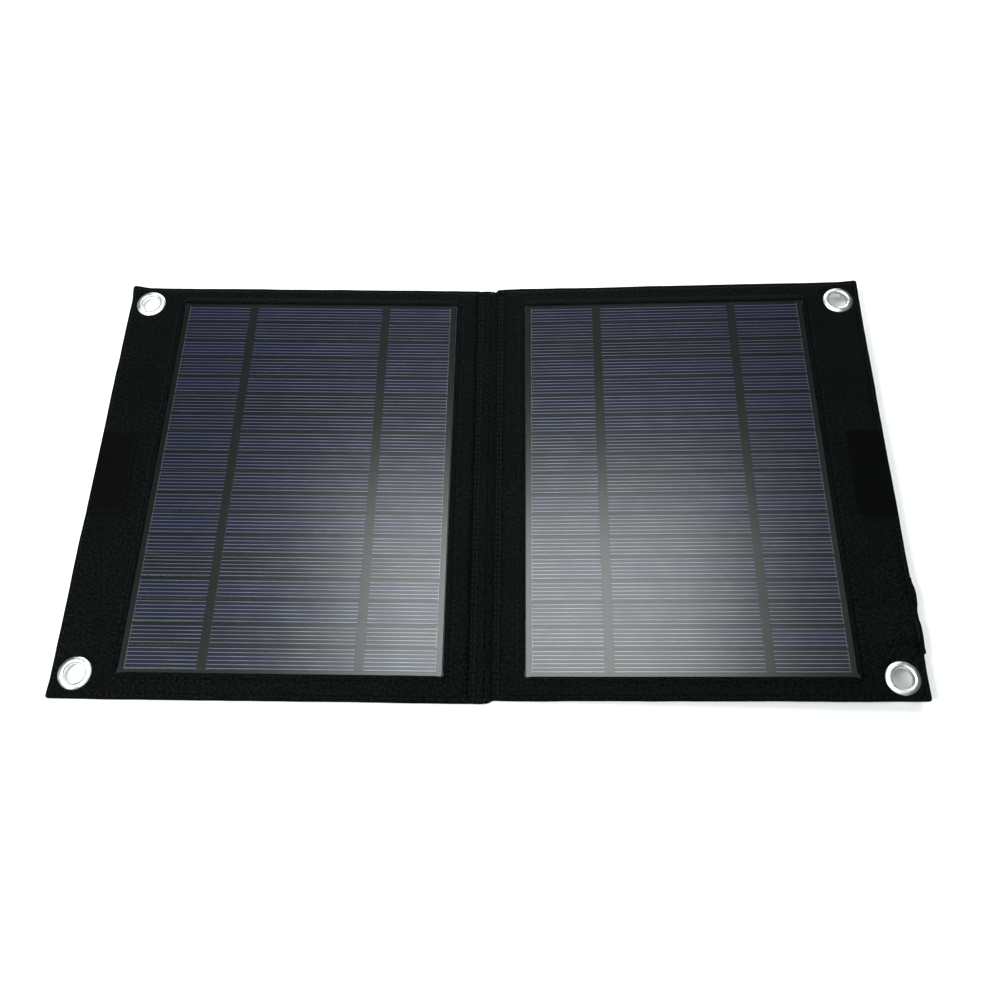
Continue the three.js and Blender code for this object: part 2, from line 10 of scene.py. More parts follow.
import bmesh
import bpy
from mathutils import Matrix, Vector, noise
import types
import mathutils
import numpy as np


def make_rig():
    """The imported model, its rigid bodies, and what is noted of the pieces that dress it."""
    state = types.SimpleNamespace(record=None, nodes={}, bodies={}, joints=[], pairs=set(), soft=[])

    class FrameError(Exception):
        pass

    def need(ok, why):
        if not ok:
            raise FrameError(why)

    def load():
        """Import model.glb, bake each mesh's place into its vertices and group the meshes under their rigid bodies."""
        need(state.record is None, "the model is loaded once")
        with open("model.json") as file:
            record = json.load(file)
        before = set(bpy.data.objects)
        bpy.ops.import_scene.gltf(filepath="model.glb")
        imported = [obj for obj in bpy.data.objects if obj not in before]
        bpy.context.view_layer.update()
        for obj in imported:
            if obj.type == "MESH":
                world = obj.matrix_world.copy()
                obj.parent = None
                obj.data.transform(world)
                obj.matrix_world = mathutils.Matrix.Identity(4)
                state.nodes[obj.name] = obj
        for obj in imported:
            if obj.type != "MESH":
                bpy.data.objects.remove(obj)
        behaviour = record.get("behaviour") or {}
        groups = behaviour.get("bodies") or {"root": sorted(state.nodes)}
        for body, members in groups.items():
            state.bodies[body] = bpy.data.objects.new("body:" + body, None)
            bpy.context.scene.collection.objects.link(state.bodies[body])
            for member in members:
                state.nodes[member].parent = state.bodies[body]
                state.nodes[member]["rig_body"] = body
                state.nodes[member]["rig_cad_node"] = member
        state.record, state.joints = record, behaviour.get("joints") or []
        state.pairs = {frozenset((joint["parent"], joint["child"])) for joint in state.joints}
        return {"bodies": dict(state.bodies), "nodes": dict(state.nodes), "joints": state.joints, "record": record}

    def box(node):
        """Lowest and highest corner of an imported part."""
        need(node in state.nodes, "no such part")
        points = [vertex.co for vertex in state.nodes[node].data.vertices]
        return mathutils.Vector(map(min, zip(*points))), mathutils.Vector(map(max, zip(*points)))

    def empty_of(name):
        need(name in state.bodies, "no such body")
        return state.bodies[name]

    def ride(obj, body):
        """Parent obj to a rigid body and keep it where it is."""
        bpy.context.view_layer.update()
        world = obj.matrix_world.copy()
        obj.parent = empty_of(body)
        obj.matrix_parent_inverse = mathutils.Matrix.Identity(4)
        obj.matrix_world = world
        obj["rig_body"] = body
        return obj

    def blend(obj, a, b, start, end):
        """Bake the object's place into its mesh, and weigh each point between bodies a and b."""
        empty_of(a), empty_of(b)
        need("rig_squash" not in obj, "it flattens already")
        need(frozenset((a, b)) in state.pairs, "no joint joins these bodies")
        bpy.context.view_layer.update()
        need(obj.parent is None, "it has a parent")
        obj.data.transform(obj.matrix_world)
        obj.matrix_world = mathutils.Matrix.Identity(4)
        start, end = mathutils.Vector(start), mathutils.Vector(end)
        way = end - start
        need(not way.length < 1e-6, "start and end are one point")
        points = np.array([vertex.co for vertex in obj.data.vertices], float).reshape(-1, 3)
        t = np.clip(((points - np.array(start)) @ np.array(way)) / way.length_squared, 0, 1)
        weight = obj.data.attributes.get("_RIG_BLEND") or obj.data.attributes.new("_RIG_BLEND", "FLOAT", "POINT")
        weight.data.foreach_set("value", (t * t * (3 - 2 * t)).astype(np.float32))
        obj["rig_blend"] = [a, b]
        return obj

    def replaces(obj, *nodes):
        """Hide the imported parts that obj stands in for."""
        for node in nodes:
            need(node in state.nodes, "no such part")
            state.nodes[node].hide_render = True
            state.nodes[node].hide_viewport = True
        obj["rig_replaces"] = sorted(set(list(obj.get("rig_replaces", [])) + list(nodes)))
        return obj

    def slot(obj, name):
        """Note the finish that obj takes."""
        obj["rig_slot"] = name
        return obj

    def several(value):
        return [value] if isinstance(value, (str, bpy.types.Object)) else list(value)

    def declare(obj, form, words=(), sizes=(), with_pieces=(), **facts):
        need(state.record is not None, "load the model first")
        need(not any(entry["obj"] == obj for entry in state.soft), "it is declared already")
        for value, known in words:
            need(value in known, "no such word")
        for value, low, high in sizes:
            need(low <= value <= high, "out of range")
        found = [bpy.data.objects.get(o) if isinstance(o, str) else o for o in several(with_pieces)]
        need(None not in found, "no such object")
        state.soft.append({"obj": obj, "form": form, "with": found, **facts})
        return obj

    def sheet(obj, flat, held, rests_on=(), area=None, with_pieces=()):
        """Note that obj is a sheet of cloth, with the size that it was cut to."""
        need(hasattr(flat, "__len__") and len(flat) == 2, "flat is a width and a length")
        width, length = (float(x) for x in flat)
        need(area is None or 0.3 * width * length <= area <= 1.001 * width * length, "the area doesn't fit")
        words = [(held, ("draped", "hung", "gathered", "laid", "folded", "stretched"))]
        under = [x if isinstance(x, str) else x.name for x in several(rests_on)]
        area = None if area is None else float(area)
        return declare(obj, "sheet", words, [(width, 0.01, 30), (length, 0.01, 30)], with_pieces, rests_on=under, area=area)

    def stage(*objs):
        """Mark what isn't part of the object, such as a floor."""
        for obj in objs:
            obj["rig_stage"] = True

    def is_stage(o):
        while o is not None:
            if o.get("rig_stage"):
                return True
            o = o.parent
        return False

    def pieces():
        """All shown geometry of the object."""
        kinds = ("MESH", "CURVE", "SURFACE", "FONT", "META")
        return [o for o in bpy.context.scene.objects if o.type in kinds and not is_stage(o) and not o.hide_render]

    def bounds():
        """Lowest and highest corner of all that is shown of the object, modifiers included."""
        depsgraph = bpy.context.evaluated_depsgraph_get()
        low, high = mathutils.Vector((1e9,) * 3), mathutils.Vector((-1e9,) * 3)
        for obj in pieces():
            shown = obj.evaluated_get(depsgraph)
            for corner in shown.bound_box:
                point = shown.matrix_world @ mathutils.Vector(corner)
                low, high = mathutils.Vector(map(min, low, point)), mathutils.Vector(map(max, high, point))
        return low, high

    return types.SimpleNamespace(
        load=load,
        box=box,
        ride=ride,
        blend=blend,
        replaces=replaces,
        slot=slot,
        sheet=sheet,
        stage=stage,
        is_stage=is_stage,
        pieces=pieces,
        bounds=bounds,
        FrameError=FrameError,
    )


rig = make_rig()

bl_info = {
    "name": "Folding Solar Panel",
    "version": (1, 0, 0),
    "blender": (4, 5, 0),
    "location": "View3D > Sidebar > Solar Panel",
    "description": "Builds a two-leaf folding solar panel round its frame",
    "category": "Add Mesh",
}

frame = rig.load()
FRAME_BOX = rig.bounds()

MM = 0.001
JOINTS = {joint["name"]: joint for joint in frame["joints"]}
MOUNTS = {mount["name"]: mount for mount in frame["record"]["mounts"]}
LEFT_CREASE = Vector(JOINTS["left_crease"]["pos_m"])
RIGHT_CREASE = Vector(JOINTS["right_crease"]["pos_m"])
FLAP_HINGE = Vector(JOINTS["flap_hinge"]["pos_m"])
LEAN = math.asin(MOUNTS["right_leaf_back"]["axis"][0])
COVER_LOW, COVER_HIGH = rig.box("left_front_cover")
PLATE_LOW, PLATE_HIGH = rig.box("left_front_laminate")
CELLS_LOW, CELLS_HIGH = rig.box("left_cell_string")
EYELET_LOW, EYELET_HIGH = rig.box("left_top_eyelet")
HOOK_LOW, HOOK_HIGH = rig.box("left_hook_patch")

CREASE_X = -LEFT_CREASE.x / MM
CREASE_Z = LEFT_CREASE.z / MM
LEAF_U = -COVER_LOW.x / MM - CREASE_X
LEAF_Y = COVER_HIGH.y / MM


# ---- Sizes and colours ----


def length(name, description, default, **more):
    """A length in metres that a user may change."""
    return bpy.props.FloatProperty(
        name=name, description=description, default=default, min=0, unit="LENGTH", precision=5, **more
    )


def colour(name, description, value):
    """A colour that a user may change, from its hex value."""
    return bpy.props.FloatVectorProperty(
        name=name, description=description, default=linear(value), size=3, subtype="COLOR", min=0, max=1
    )


def linear(hex_value):
    """Turns an sRGB hex colour into linear red, green and blue."""
    channels = [int(hex_value[i : i + 2], 16) / 255 for i in (1, 3, 5)]
    return tuple(c / 12.92 if c <= 0.04045 else ((c + 0.055) / 1.055) ** 2.4 for c in channels)


class PanelSizes(bpy.types.PropertyGroup):
    """Sizes of the sewn and laminated pieces."""

    fabric: length("Fabric", "Thickness of one sewn layer of cover fabric", 0.0007)
    leaf_corner: length("Leaf corner", "Radius of a leaf's corners", 0.0014)
    window_corner: length("Window corner", "Radius of the fabric window's corners", 0.0028)
    hem_seam: length("Hem seam", "From a leaf's edge to its hem stitches", 0.0021)
    window_seam: length("Window seam", "From the window's edge to its stitches", 0.0038)
    stitch_pitch: length("Stitch pitch", "From one stitch to the next", 0.003)
    stitch_width: length("Stitch width", "Width of a sewn stitch", 0.0005)
    plate_corner: length("Laminate corner", "Radius of the laminate's corners", 0.0024)
    strip_pitch: length("Strip pitch", "From one row of cells to the next", 0.0123)
    strip_width: length("Strip width", "Width of a row of cells", 0.0114)
    ripple: length("Ripple", "Height of the slow ripples in the fabric", 0.0003)


class PanelColours(bpy.types.PropertyGroup):
    """Base colours of the main finishes."""

    cloth_dark: colour("Cloth, dark", "Cover fabric between its ridges", "#000000")
    cloth_light: colour("Cloth, light", "Cover fabric on its ridges", "#0d1112")
    cell: colour("Cell", "Silicon between its printed lines", "#050817")
    cell_pale: colour("Cell, pale", "The palest rows of cells", "#0b0f27")
    silver: colour("Printed silver", "Lines printed on the cells", "#60656a")
    laminate: colour("Laminate", "Black laminate round the cells", "#030404")
    ribbon: colour("Ribbon", "Coated ribbon across the rows", "#101312")
    floor: colour("Floor", "Studio floor", "#f6f6f6")


def sizes():
    """The sizes that the pieces are built to."""
    return bpy.context.scene.panel_sizes


def colours():
    """The colours that the finishes start from."""
    return bpy.context.scene.panel_colours


# ---- Working with meshes ----


def deselect():
    """Leaves nothing selected, as an operator acts on all that is."""
    bpy.ops.object.select_all(action="DESELECT")


def only(piece):
    """Makes this piece the one that operators act on."""
    deselect()
    piece.select_set(True)
    bpy.context.view_layer.objects.active = piece
    return piece


def new_piece(name):
    """Names the primitive that was just added."""
    piece = bpy.context.active_object
    piece.name = piece.data.name = name
    return piece


def settle(piece):
    """Moves a piece's place, turn and scale into its mesh."""
    only(piece)
    bpy.ops.object.transform_apply(location=True, rotation=True, scale=True)
    return piece


def pick(piece, kind, test):
    """Selects, in edit mode, the elements of one kind that pass a test."""
    bpy.ops.mesh.select_mode(type=kind)
    bpy.ops.mesh.select_all(action="DESELECT")
    mesh = bmesh.from_edit_mesh(piece.data)
    chosen = {"VERT": mesh.verts, "EDGE": mesh.edges, "FACE": mesh.faces}[kind]
    for element in chosen:
        if test(element):
            element.select_set(True)
    mesh.select_flush_mode()
    bmesh.update_edit_mesh(piece.data)


def modify(piece, kind, **settings):
    """Adds a modifier with its settings and applies it."""
    only(piece)
    modifier = piece.modifiers.new(kind.title(), kind)
    for name, value in settings.items():
        setattr(modifier, name, value)
    bpy.ops.object.modifier_apply(modifier=modifier.name)
    return piece


def soften(piece, angle=35):
    """Smooth shading, with creases kept where faces turn sharply."""
    only(piece)
    bpy.ops.object.shade_smooth_by_angle(angle=math.radians(angle))
    return piece


def face_out(piece):
    """Merges doubles and turns all faces outwards."""
    only(piece)
    bpy.ops.object.mode_set(mode="EDIT")
    bpy.ops.mesh.select_all(action="SELECT")
    bpy.ops.mesh.remove_doubles(threshold=0.004 * MM)
    bpy.ops.mesh.normals_make_consistent(inside=False)
    bpy.ops.object.mode_set(mode="OBJECT")
    return piece


def block(name, low, high, corner, edge, steps=4):
    """A moulded block between two points in millimetres: upright edges rounded, then its rims."""
    low, high = Vector(low) * MM, Vector(high) * MM
    deselect()
    bpy.ops.mesh.primitive_cube_add(size=1, location=(low + high) / 2)
    piece = new_piece(name)
    piece.scale = high - low
    settle(piece)
    bpy.ops.object.mode_set(mode="EDIT")
    if corner:
        pick(piece, "EDGE", lambda e: abs((e.verts[0].co - e.verts[1].co).z) > 0.5 * (high.z - low.z))
        bpy.ops.mesh.bevel(offset=corner * MM, segments=steps * 2, affect="EDGES")
    if edge:
        flat = 0.02 * MM
        pick(
            piece,
            "EDGE",
            lambda e: abs(e.verts[0].co.z - e.verts[1].co.z) < flat
            and len(e.link_faces) == 2
            and e.calc_face_angle(0) > math.radians(40),
        )
        bpy.ops.mesh.bevel(offset=edge * MM, segments=max(2, steps - 1), affect="EDGES")
        # a narrow inset keeps the shading of the rounded rim off the flat faces
        pick(piece, "FACE", lambda f: abs(f.normal.z) > 0.999)
        bpy.ops.mesh.inset(thickness=edge * MM * 0.6, depth=0)
    bpy.ops.object.mode_set(mode="OBJECT")
    return soften(piece, 30)


def turned(name, outline, centre):
    """A ring turned about an upright axis, from its closed outline of radius and height."""
    deselect()
    bpy.ops.mesh.primitive_circle_add(vertices=len(outline), radius=MM)
    piece = new_piece(name)
    bpy.ops.object.mode_set(mode="EDIT")
    mesh = bmesh.from_edit_mesh(piece.data)
    mesh.verts.ensure_lookup_table()
    for vertex, (radius, height) in zip(mesh.verts, outline):
        vertex.co = (radius * MM, 0, height * MM)
    bmesh.update_edit_mesh(piece.data)
    bpy.ops.mesh.select_all(action="SELECT")
    bpy.ops.mesh.spin(steps=56, angle=math.tau, center=(0, 0, 0), axis=(0, 0, 1))
    bpy.ops.object.mode_set(mode="OBJECT")
    piece.location = (centre[0] * MM, centre[1] * MM, 0)
    settle(piece)
    return soften(face_out(piece), 50)


def copy_of(piece, name, matrix):
    """A copy with its own mesh, moved by a matrix that goes into the mesh."""
    only(piece)
    bpy.ops.object.duplicate()
    twin = new_piece(name)
    twin.matrix_world = matrix @ twin.matrix_world
    return settle(twin)


def light_copy(piece, matrix):
    """A quick copy for what repeats by the hundred, its mesh moved by a matrix."""
    twin = piece.copy()
    twin.data = piece.data.copy()
    twin.data.transform(matrix)
    bpy.context.scene.collection.objects.link(twin)
    return twin


def joined(pieces, name):
    """Joins pieces into one."""
    deselect()
    for piece in pieces:
        piece.select_set(True)
    bpy.context.view_layer.objects.active = pieces[0]
    bpy.ops.object.join()
    return new_piece(name)


LEANING = (
    Matrix.Translation(RIGHT_CREASE) @ Matrix.Rotation(-LEAN, 4, "Y") @ Matrix.Translation(-RIGHT_CREASE)
)
TO_RIGHT = LEANING @ Matrix.Scale(-1, 4, (1, 0, 0))


def to_right(piece, name):
    """A left-leaf piece's twin on the right leaf: mirrored, then leaned about the right crease."""
    return face_out(copy_of(piece, name, TO_RIGHT))


def ease(value, start=0.0, end=1.0):
    """A smooth step from 0 at start to 1 at end."""
    t = min(max((value - start) / (end - start), 0.0), 1.0)
    return t * t * (3 - 2 * t)


def profile(value, points):
    """A smooth curve through points that rise in their first number."""
    if value <= points[0][0]:
        return points[0][1]
    for (a, low), (b, high) in zip(points, points[1:]):
        if value <= b:
            return low + (high - low) * ease(value, a, b)
    return points[-1][1]


def wave(x, y, size, seed):
    """Slow noise from -1 to 1 whose bumps are about size millimetres across."""
    return noise.noise(Vector((x / size, y / size, seed * 7.31)))


# ---- Finishes ----


def add(tree, kind, values=None, links=None, **settings):
    """Adds a shader node with its settings and its sockets' values, and links it to what it
    reads: a socket, or a node, which stands for its first output in use."""
    made = tree.nodes.new("ShaderNode" + kind)
    for name, value in settings.items():
        setattr(made, name, value)
    for name, value in (values or {}).items():
        made.inputs[name].default_value = value
    for name, source in (links or {}).items():
        if isinstance(source, bpy.types.Node):
            source = next(output for output in source.outputs if output.enabled)
        tree.links.new(source, made.inputs[name])
    return made


def rgba(value):
    """A colour with full opacity, from a hex value or from red, green and blue."""
    return (*(linear(value) if isinstance(value, str) else value), 1.0)


def band_scale(pitch):
    """The Wave node's scale that puts one band each pitch millimetres."""
    return math.tau / 20 / (pitch * MM)


def bump(tree, height, depth, below=None):
    """A bump of so many millimetres from a height of 0 to 1, on top of the one below."""
    links = {"Height": height, "Normal": below} if below else {"Height": height}
    return add(tree, "Bump", {"Strength": 1.0, "Distance": depth * MM}, links)


FINISHES = {}


def finish_of(maker, name, *settings):
    """The finish of this name, made once by its maker, which gives the surface's shader."""
    if name not in FINISHES:
        material = FINISHES[name] = bpy.data.materials.new(name)
        material.use_nodes = True
        tree = material.node_tree
        tree.nodes.clear()
        add(tree, "OutputMaterial", links={"Surface": maker(tree, *settings)})
    return FINISHES[name]


def woven_polyester(tree, ridge):
    """Woven polyester with a coated back, sewn: matt black, with a fine diagonal ridge, faint
    slubs and a low sheen that lifts where light grazes it. Its threads are 0.4 mm apart; the
    ridge is drawn two to three times as coarse, or it would not show."""
    place = add(tree, "UVMap", uv_map="cloth")
    slant = add(tree, "Mapping", {"Rotation": (0, 0, math.radians(52))}, {"Vector": place})
    across = add(tree, "Mapping", {"Rotation": (0, 0, math.radians(-33))}, {"Vector": place})
    twill = add(
        tree,
        "TexWave",
        {"Scale": band_scale(ridge), "Distortion": 1.6, "Detail": 2.0, "Detail Scale": 2.0},
        {"Vector": slant},
    ).outputs["Fac"]
    weft = add(
        tree,
        "TexWave",
        {"Scale": band_scale(ridge * 0.8), "Distortion": 2.2, "Detail": 2.0, "Detail Scale": 2.0},
        {"Vector": across},
    ).outputs["Fac"]
    weave = add(tree, "Mix", {"Factor": 0.38}, {"A": twill, "B": weft}, data_type="FLOAT")
    slub = add(tree, "TexNoise", {"Scale": 780.0, "Detail": 2.0}, {"Vector": place})
    wear_and_sheen = add(tree, "TexNoise", {"Scale": 24.0, "Detail": 4.0}, {"Vector": place})
    grain = add(tree, "Math", {1: 0.32}, {0: weave, 2: slub}, operation="MULTIPLY_ADD")
    fleck = add(tree, "MapRange", {"From Min": 0.58, "From Max": 0.82}, {"Value": grain})
    dark, light = rgba(colours().cloth_dark), rgba(colours().cloth_light)
    tint = add(tree, "Mix", {"A": dark, "B": light}, {"Factor": fleck}, data_type="RGBA")
    # broad random patches, from a little darker to a third lighter, multiplied into the colour: partly dust on the
    # cloth, partly painted sheen
    worn = {"From Min": 0.35, "From Max": 0.75, "To Min": 0.85, "To Max": 1.3}
    dust_and_sheen = add(tree, "MapRange", worn, {"Value": wear_and_sheen})
    patch_blend = {"data_type": "RGBA", "blend_type": "MULTIPLY"}
    shade = add(tree, "Mix", {"Factor": 1.0}, {"A": tint, "B": dust_and_sheen}, **patch_blend)
    matt = add(tree, "MapRange", {"From Max": 1.4, "To Min": 0.8, "To Max": 0.5}, {"Value": grain})
    relief = bump(tree, grain, 0.16)
    nap = {"Sheen Weight": 0.004, "Sheen Roughness": 0.45, "Sheen Tint": rgba("#b6c2c4")}
    return add(
        tree,
        "BsdfPrincipled",
        {"IOR": 1.5, "Specular IOR Level": 0.03, **nap},
        {"Base Color": shade, "Roughness": matt, "Normal": relief},
    )


def bonded_thread(tree):
    """Bonded polyester thread, twisted: black with a soft gloss on each stitch."""
    place = add(tree, "TexCoord").outputs["Object"]
    wound = {"Scale": band_scale(0.6), "Distortion": 0.5}
    twist = add(tree, "TexWave", wound, {"Vector": place}, bands_direction="DIAGONAL").outputs["Fac"]
    tones = {"A": rgba("#050606"), "B": rgba("#111413")}
    tint = add(tree, "Mix", tones, {"Factor": twist}, data_type="RGBA")
    return add(
        tree,
        "BsdfPrincipled",
        {"Roughness": 0.55, "IOR": 1.5, "Specular IOR Level": 0.12},
        {"Base Color": tint, "Normal": bump(tree, twist, 0.05)},
    )


def satin(tree, place):
    """The front film's own surface: long shallow waves from lamination and a fine satin grain."""
    long = {"Scale": 26.0, "Detail": 3.0, "Roughness": 0.55}
    billow = add(tree, "TexNoise", long, {"Vector": place})
    grit = add(tree, "TexNoise", {"Scale": 1400.0, "Detail": 2.0}, {"Vector": place})
    return bump(tree, grit, 0.005, bump(tree, billow, 0.1))


COAT = {"Coat Weight": 1.0, "Coat Roughness": 0.27, "Coat IOR": 1.5, "Specular IOR Level": 0.0}


def glass_laminate(tree):
    """Black glass-fibre laminate under a satin film: near black, faint fibre grain, soft gloss."""
    place = add(tree, "TexCoord").outputs["Object"]
    fibre = add(tree, "TexNoise", {"Scale": 900.0, "Detail": 4.0}, {"Vector": place})
    tones = {"A": rgba(colours().laminate), "B": rgba("#0a0c0b")}
    tint = add(tree, "Mix", tones, {"Factor": fibre}, data_type="RGBA")
    return add(
        tree,
        "BsdfPrincipled",
        {"Roughness": 0.55, "IOR": 1.5, **COAT},
        {"Base Color": tint, "Normal": bump(tree, fibre, 0.02), "Coat Normal": satin(tree, place)},
    )


FINGER_PITCH = 2.05  # from one printed line to the next, in millimetres
ROW_STEP = 20.0  # a row's UV moves on this many millimetres from one row to the next
ROW_COUNT = 18  # rows of cells on each leaf


def printed_silicon(tree):
    """Coated silicon with silver lines printed along each row, under a satin film. The coating
    gives a deep blue that differs a little from row to row. The rows are cut from a wafer with
    evenly spaced lines, so they hold six and five in turn, and their edges are scribed dark. The
    lines are 0.15 mm wide and are drawn more than twice as wide, so that they show."""
    flat = add(tree, "UVMap", uv_map="strip")
    parts = add(tree, "SeparateXYZ", links={"Vector": flat})
    along, across = parts.outputs["X"], parts.outputs["Y"]
    row = add(tree, "Math", {1: ROW_STEP * MM}, {0: across}, operation="DIVIDE")
    number = add(tree, "Math", links={0: row}, operation="FLOOR")
    over = add(tree, "Math", {1: ROW_STEP * MM}, {0: across}, operation="MODULO")
    parity = add(tree, "Math", {1: 2.0}, {0: number}, operation="MODULO")
    half_pitch = FINGER_PITCH / 2 * MM
    first = {1: half_pitch, 2: 0.575 * MM}
    start = add(tree, "Math", first, {0: parity}, operation="MULTIPLY_ADD")
    shifted = add(tree, "Math", links={0: over, 1: start}, operation="SUBTRACT")
    gap = add(tree, "Math", {1: half_pitch}, {0: shifted}, operation="PINGPONG")
    drawn = {"From Min": 0.12 * MM, "From Max": 0.24 * MM, "To Min": 1.0, "To Max": 0.0}
    finger = add(tree, "MapRange", drawn, {"Value": gap})
    half_row = (CELLS_HIGH.x - CELLS_LOW.x) / 2
    inward = add(tree, "Math", {1: half_row}, {0: along}, operation="PINGPONG")
    drawn = {"From Min": 0.35 * MM, "From Max": 0.5 * MM, "To Min": 1.0, "To Max": 0.0}
    closing = add(tree, "MapRange", drawn, {"Value": inward})
    ends = add(tree, "Math", {1: 0.55}, {0: closing}, operation="MULTIPLY")
    lines = add(tree, "Math", links={0: finger, 1: ends}, operation="MAXIMUM")
    fade = add(tree, "TexNoise", {"Scale": 60.0, "Detail": 3.0}, {"Vector": flat})
    patchy = {"From Min": 0.3, "From Max": 0.7, "To Min": 0.55, "To Max": 0.95}
    strength = add(tree, "MapRange", patchy, {"Value": fade})
    silver = add(tree, "Math", links={0: lines, 1: strength}, operation="MULTIPLY")
    batch = add(tree, "TexWhiteNoise", links={"W": number}, noise_dimensions="1D")
    crystal = add(tree, "TexNoise", {"Scale": 180.0, "Detail": 3.0}, {"Vector": flat})
    tone = add(tree, "Math", {1: 0.25}, {0: crystal, 2: batch}, operation="MULTIPLY_ADD")
    tones = {"A": rgba(colours().cell), "B": rgba(colours().cell_pale)}
    coating = add(tree, "Mix", tones, {"Factor": tone}, data_type="RGBA")
    half_width = sizes().strip_width / 2
    near = add(tree, "Math", {1: half_width}, {0: over}, operation="PINGPONG")
    scribed = add(tree, "MapRange", {"From Min": 0.3 * MM, "From Max": 0.6 * MM}, {"Value": near})
    edged = {"Factor": scribed, "B": coating}
    blue = add(tree, "Mix", {"A": rgba("#020203")}, edged, data_type="RGBA")
    printed = {"Factor": silver, "A": blue}
    shade = add(tree, "Mix", {"B": rgba(colours().silver)}, printed, data_type="RGBA")
    metal = add(tree, "Math", {1: 1.15}, {0: silver}, operation="MULTIPLY", use_clamp=True)
    return add(
        tree,
        "BsdfPrincipled",
        {"Roughness": 0.4, "IOR": 1.5, **COAT},
        {
            "Base Color": shade,
            "Metallic": metal,
            "Normal": bump(tree, silver, 0.02),
            "Coat Normal": satin(tree, add(tree, "TexCoord").outputs["Object"]),
        },
    )


def coated_ribbon(tree):
    """Flat copper ribbon with a dark coating, under the same film: charcoal, slightly rough."""
    place = add(tree, "TexCoord").outputs["Object"]
    rough = add(tree, "TexNoise", {"Scale": 700.0, "Detail": 5.0}, {"Vector": place})
    tones = {"A": rgba("#090b0b"), "B": rgba(colours().ribbon)}
    tint = add(tree, "Mix", tones, {"Factor": rough}, data_type="RGBA")
    return add(
        tree,
        "BsdfPrincipled",
        {"Roughness": 0.6, "IOR": 1.5, **COAT},
        {"Base Color": tint, "Normal": bump(tree, rough, 0.05), "Coat Normal": satin(tree, place)},
    )


def nickel_plate(tree, rough=0.34, tone="#f4f4f2"):
    """Plated metal, nickel unless its tone says otherwise: bright, with faint stains and fine
    handling scratches in the gloss."""
    place = add(tree, "TexCoord").outputs["Object"]
    marks = {"Scale": 1500.0, "Detail": 4.0, "Distortion": 0.8}
    scratch = add(tree, "TexNoise", marks, {"Vector": place})
    stain = add(tree, "TexNoise", {"Scale": 220.0, "Detail": 3.0}, {"Vector": place})
    handled = {"From Min": 0.3, "From Max": 0.75, "To Min": rough * 0.8, "To Max": rough * 1.7}
    gloss = add(tree, "MapRange", handled, {"Value": stain})
    tones = {"A": rgba(tone), "B": rgba("#c9cccd")}
    tint = add(tree, "Mix", tones, {"Factor": stain}, data_type="RGBA")
    relief = bump(tree, scratch, 0.012)
    surface = {"Base Color": tint, "Roughness": gloss, "Normal": relief}
    return add(tree, "BsdfPrincipled", {"Metallic": 1.0}, surface)


def moulded(tree, dark, light, rough, grain, depth, ior=1.5, level=0.5):
    """A moulded or cast plastic: its two tones mottled at the grain's size in millimetres, and
    a bump of the same grain, as a textured mould leaves."""
    place = add(tree, "TexCoord").outputs["Object"]
    pebble = add(tree, "TexNoise", {"Scale": 1 / (grain * MM), "Detail": 3.0}, {"Vector": place})
    cloud = add(tree, "TexNoise", {"Scale": 90.0, "Detail": 2.0}, {"Vector": place})
    tones = {"A": rgba(dark), "B": rgba(light)}
    tint = add(tree, "Mix", tones, {"Factor": pebble}, data_type="RGBA")
    duller = min(1.0, rough * 1.15)
    worn = {"From Min": 0.3, "From Max": 0.7, "To Min": rough * 0.9, "To Max": duller}
    gloss = add(tree, "MapRange", worn, {"Value": cloud})
    relief = bump(tree, pebble, depth)
    surface = {"Base Color": tint, "Roughness": gloss, "Normal": relief}
    return add(tree, "BsdfPrincipled", {"IOR": ior, "Specular IOR Level": level}, surface)


def cover_cloth():
    """The cover fabric."""
    return finish_of(woven_polyester, "woven_polyester_cover", 1.15)


def pocket_cloth():
    """The thinner fabric of the sleeve and its flap."""
    return finish_of(woven_polyester, "woven_polyester_pocket", 0.9)


def dress(piece, material, slot):
    """Gives a piece its material and names the record's slot that it belongs to."""
    piece.data.materials.clear()
    piece.data.materials.append(material)
    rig.slot(piece, slot)
    return piece


def fit(piece, material, slot, body, *nodes):
    """Dresses a piece and sets it on its body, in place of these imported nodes."""
    dress(piece, material, slot)
    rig.ride(piece, body)
    if nodes:
        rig.replaces(piece, *nodes)
    return piece


# ---- Leaf coordinates ----


WINDOW_GAP = 0.35  # the cloth's turned edge lies close against the laminate's sides
WINDOW_OVERLAP = 1.3  # and laps over the laminate's two ends
WINDOW_START = -PLATE_HIGH.x / MM - CREASE_X - WINDOW_GAP
WINDOW_END = -PLATE_LOW.x / MM - CREASE_X + WINDOW_GAP
WINDOW_MIDDLE, WINDOW_HALF = (WINDOW_START + WINDOW_END) / 2, (WINDOW_END - WINDOW_START) / 2
WINDOW_Y = PLATE_HIGH.y / MM - WINDOW_OVERLAP
EYELET_U = -(EYELET_LOW.x + EYELET_HIGH.x) / 2 / MM - CREASE_X
EYELET_Y = (EYELET_LOW.y + EYELET_HIGH.y) / 2 / MM
EYELET_R = (EYELET_HIGH.x - EYELET_LOW.x) / 2 / MM
EYELET_TOP = EYELET_HIGH.z / MM
EYELET_BORE = 5.25  # radius of an eyelet's hole
CLOTH_HOLE = 6.6  # radius of the cloth's hole round an eyelet's barrel
CRUSHED, LOOSE = 8.8, 10.4  # radii between which the cloth rises from under the rim
STITCH_CLEAR = 9.6  # no stitch comes nearer than this to an eyelet's middle


def on_leaf(side, u, y, z):
    """A leaf's point in millimetres as a point of the open panel in metres. The right leaf's
    lean comes in smoothly over its crease."""
    if side == "left":
        return Vector((-(CREASE_X + u), y, z)) * MM
    turn = LEAN * ease(u, -2.0, 2.0)
    rise = z - CREASE_Z
    return MM * Vector(
        (
            CREASE_X + u * math.cos(turn) - rise * math.sin(turn),
            y,
            CREASE_Z + u * math.sin(turn) + rise * math.cos(turn),
        )
    )


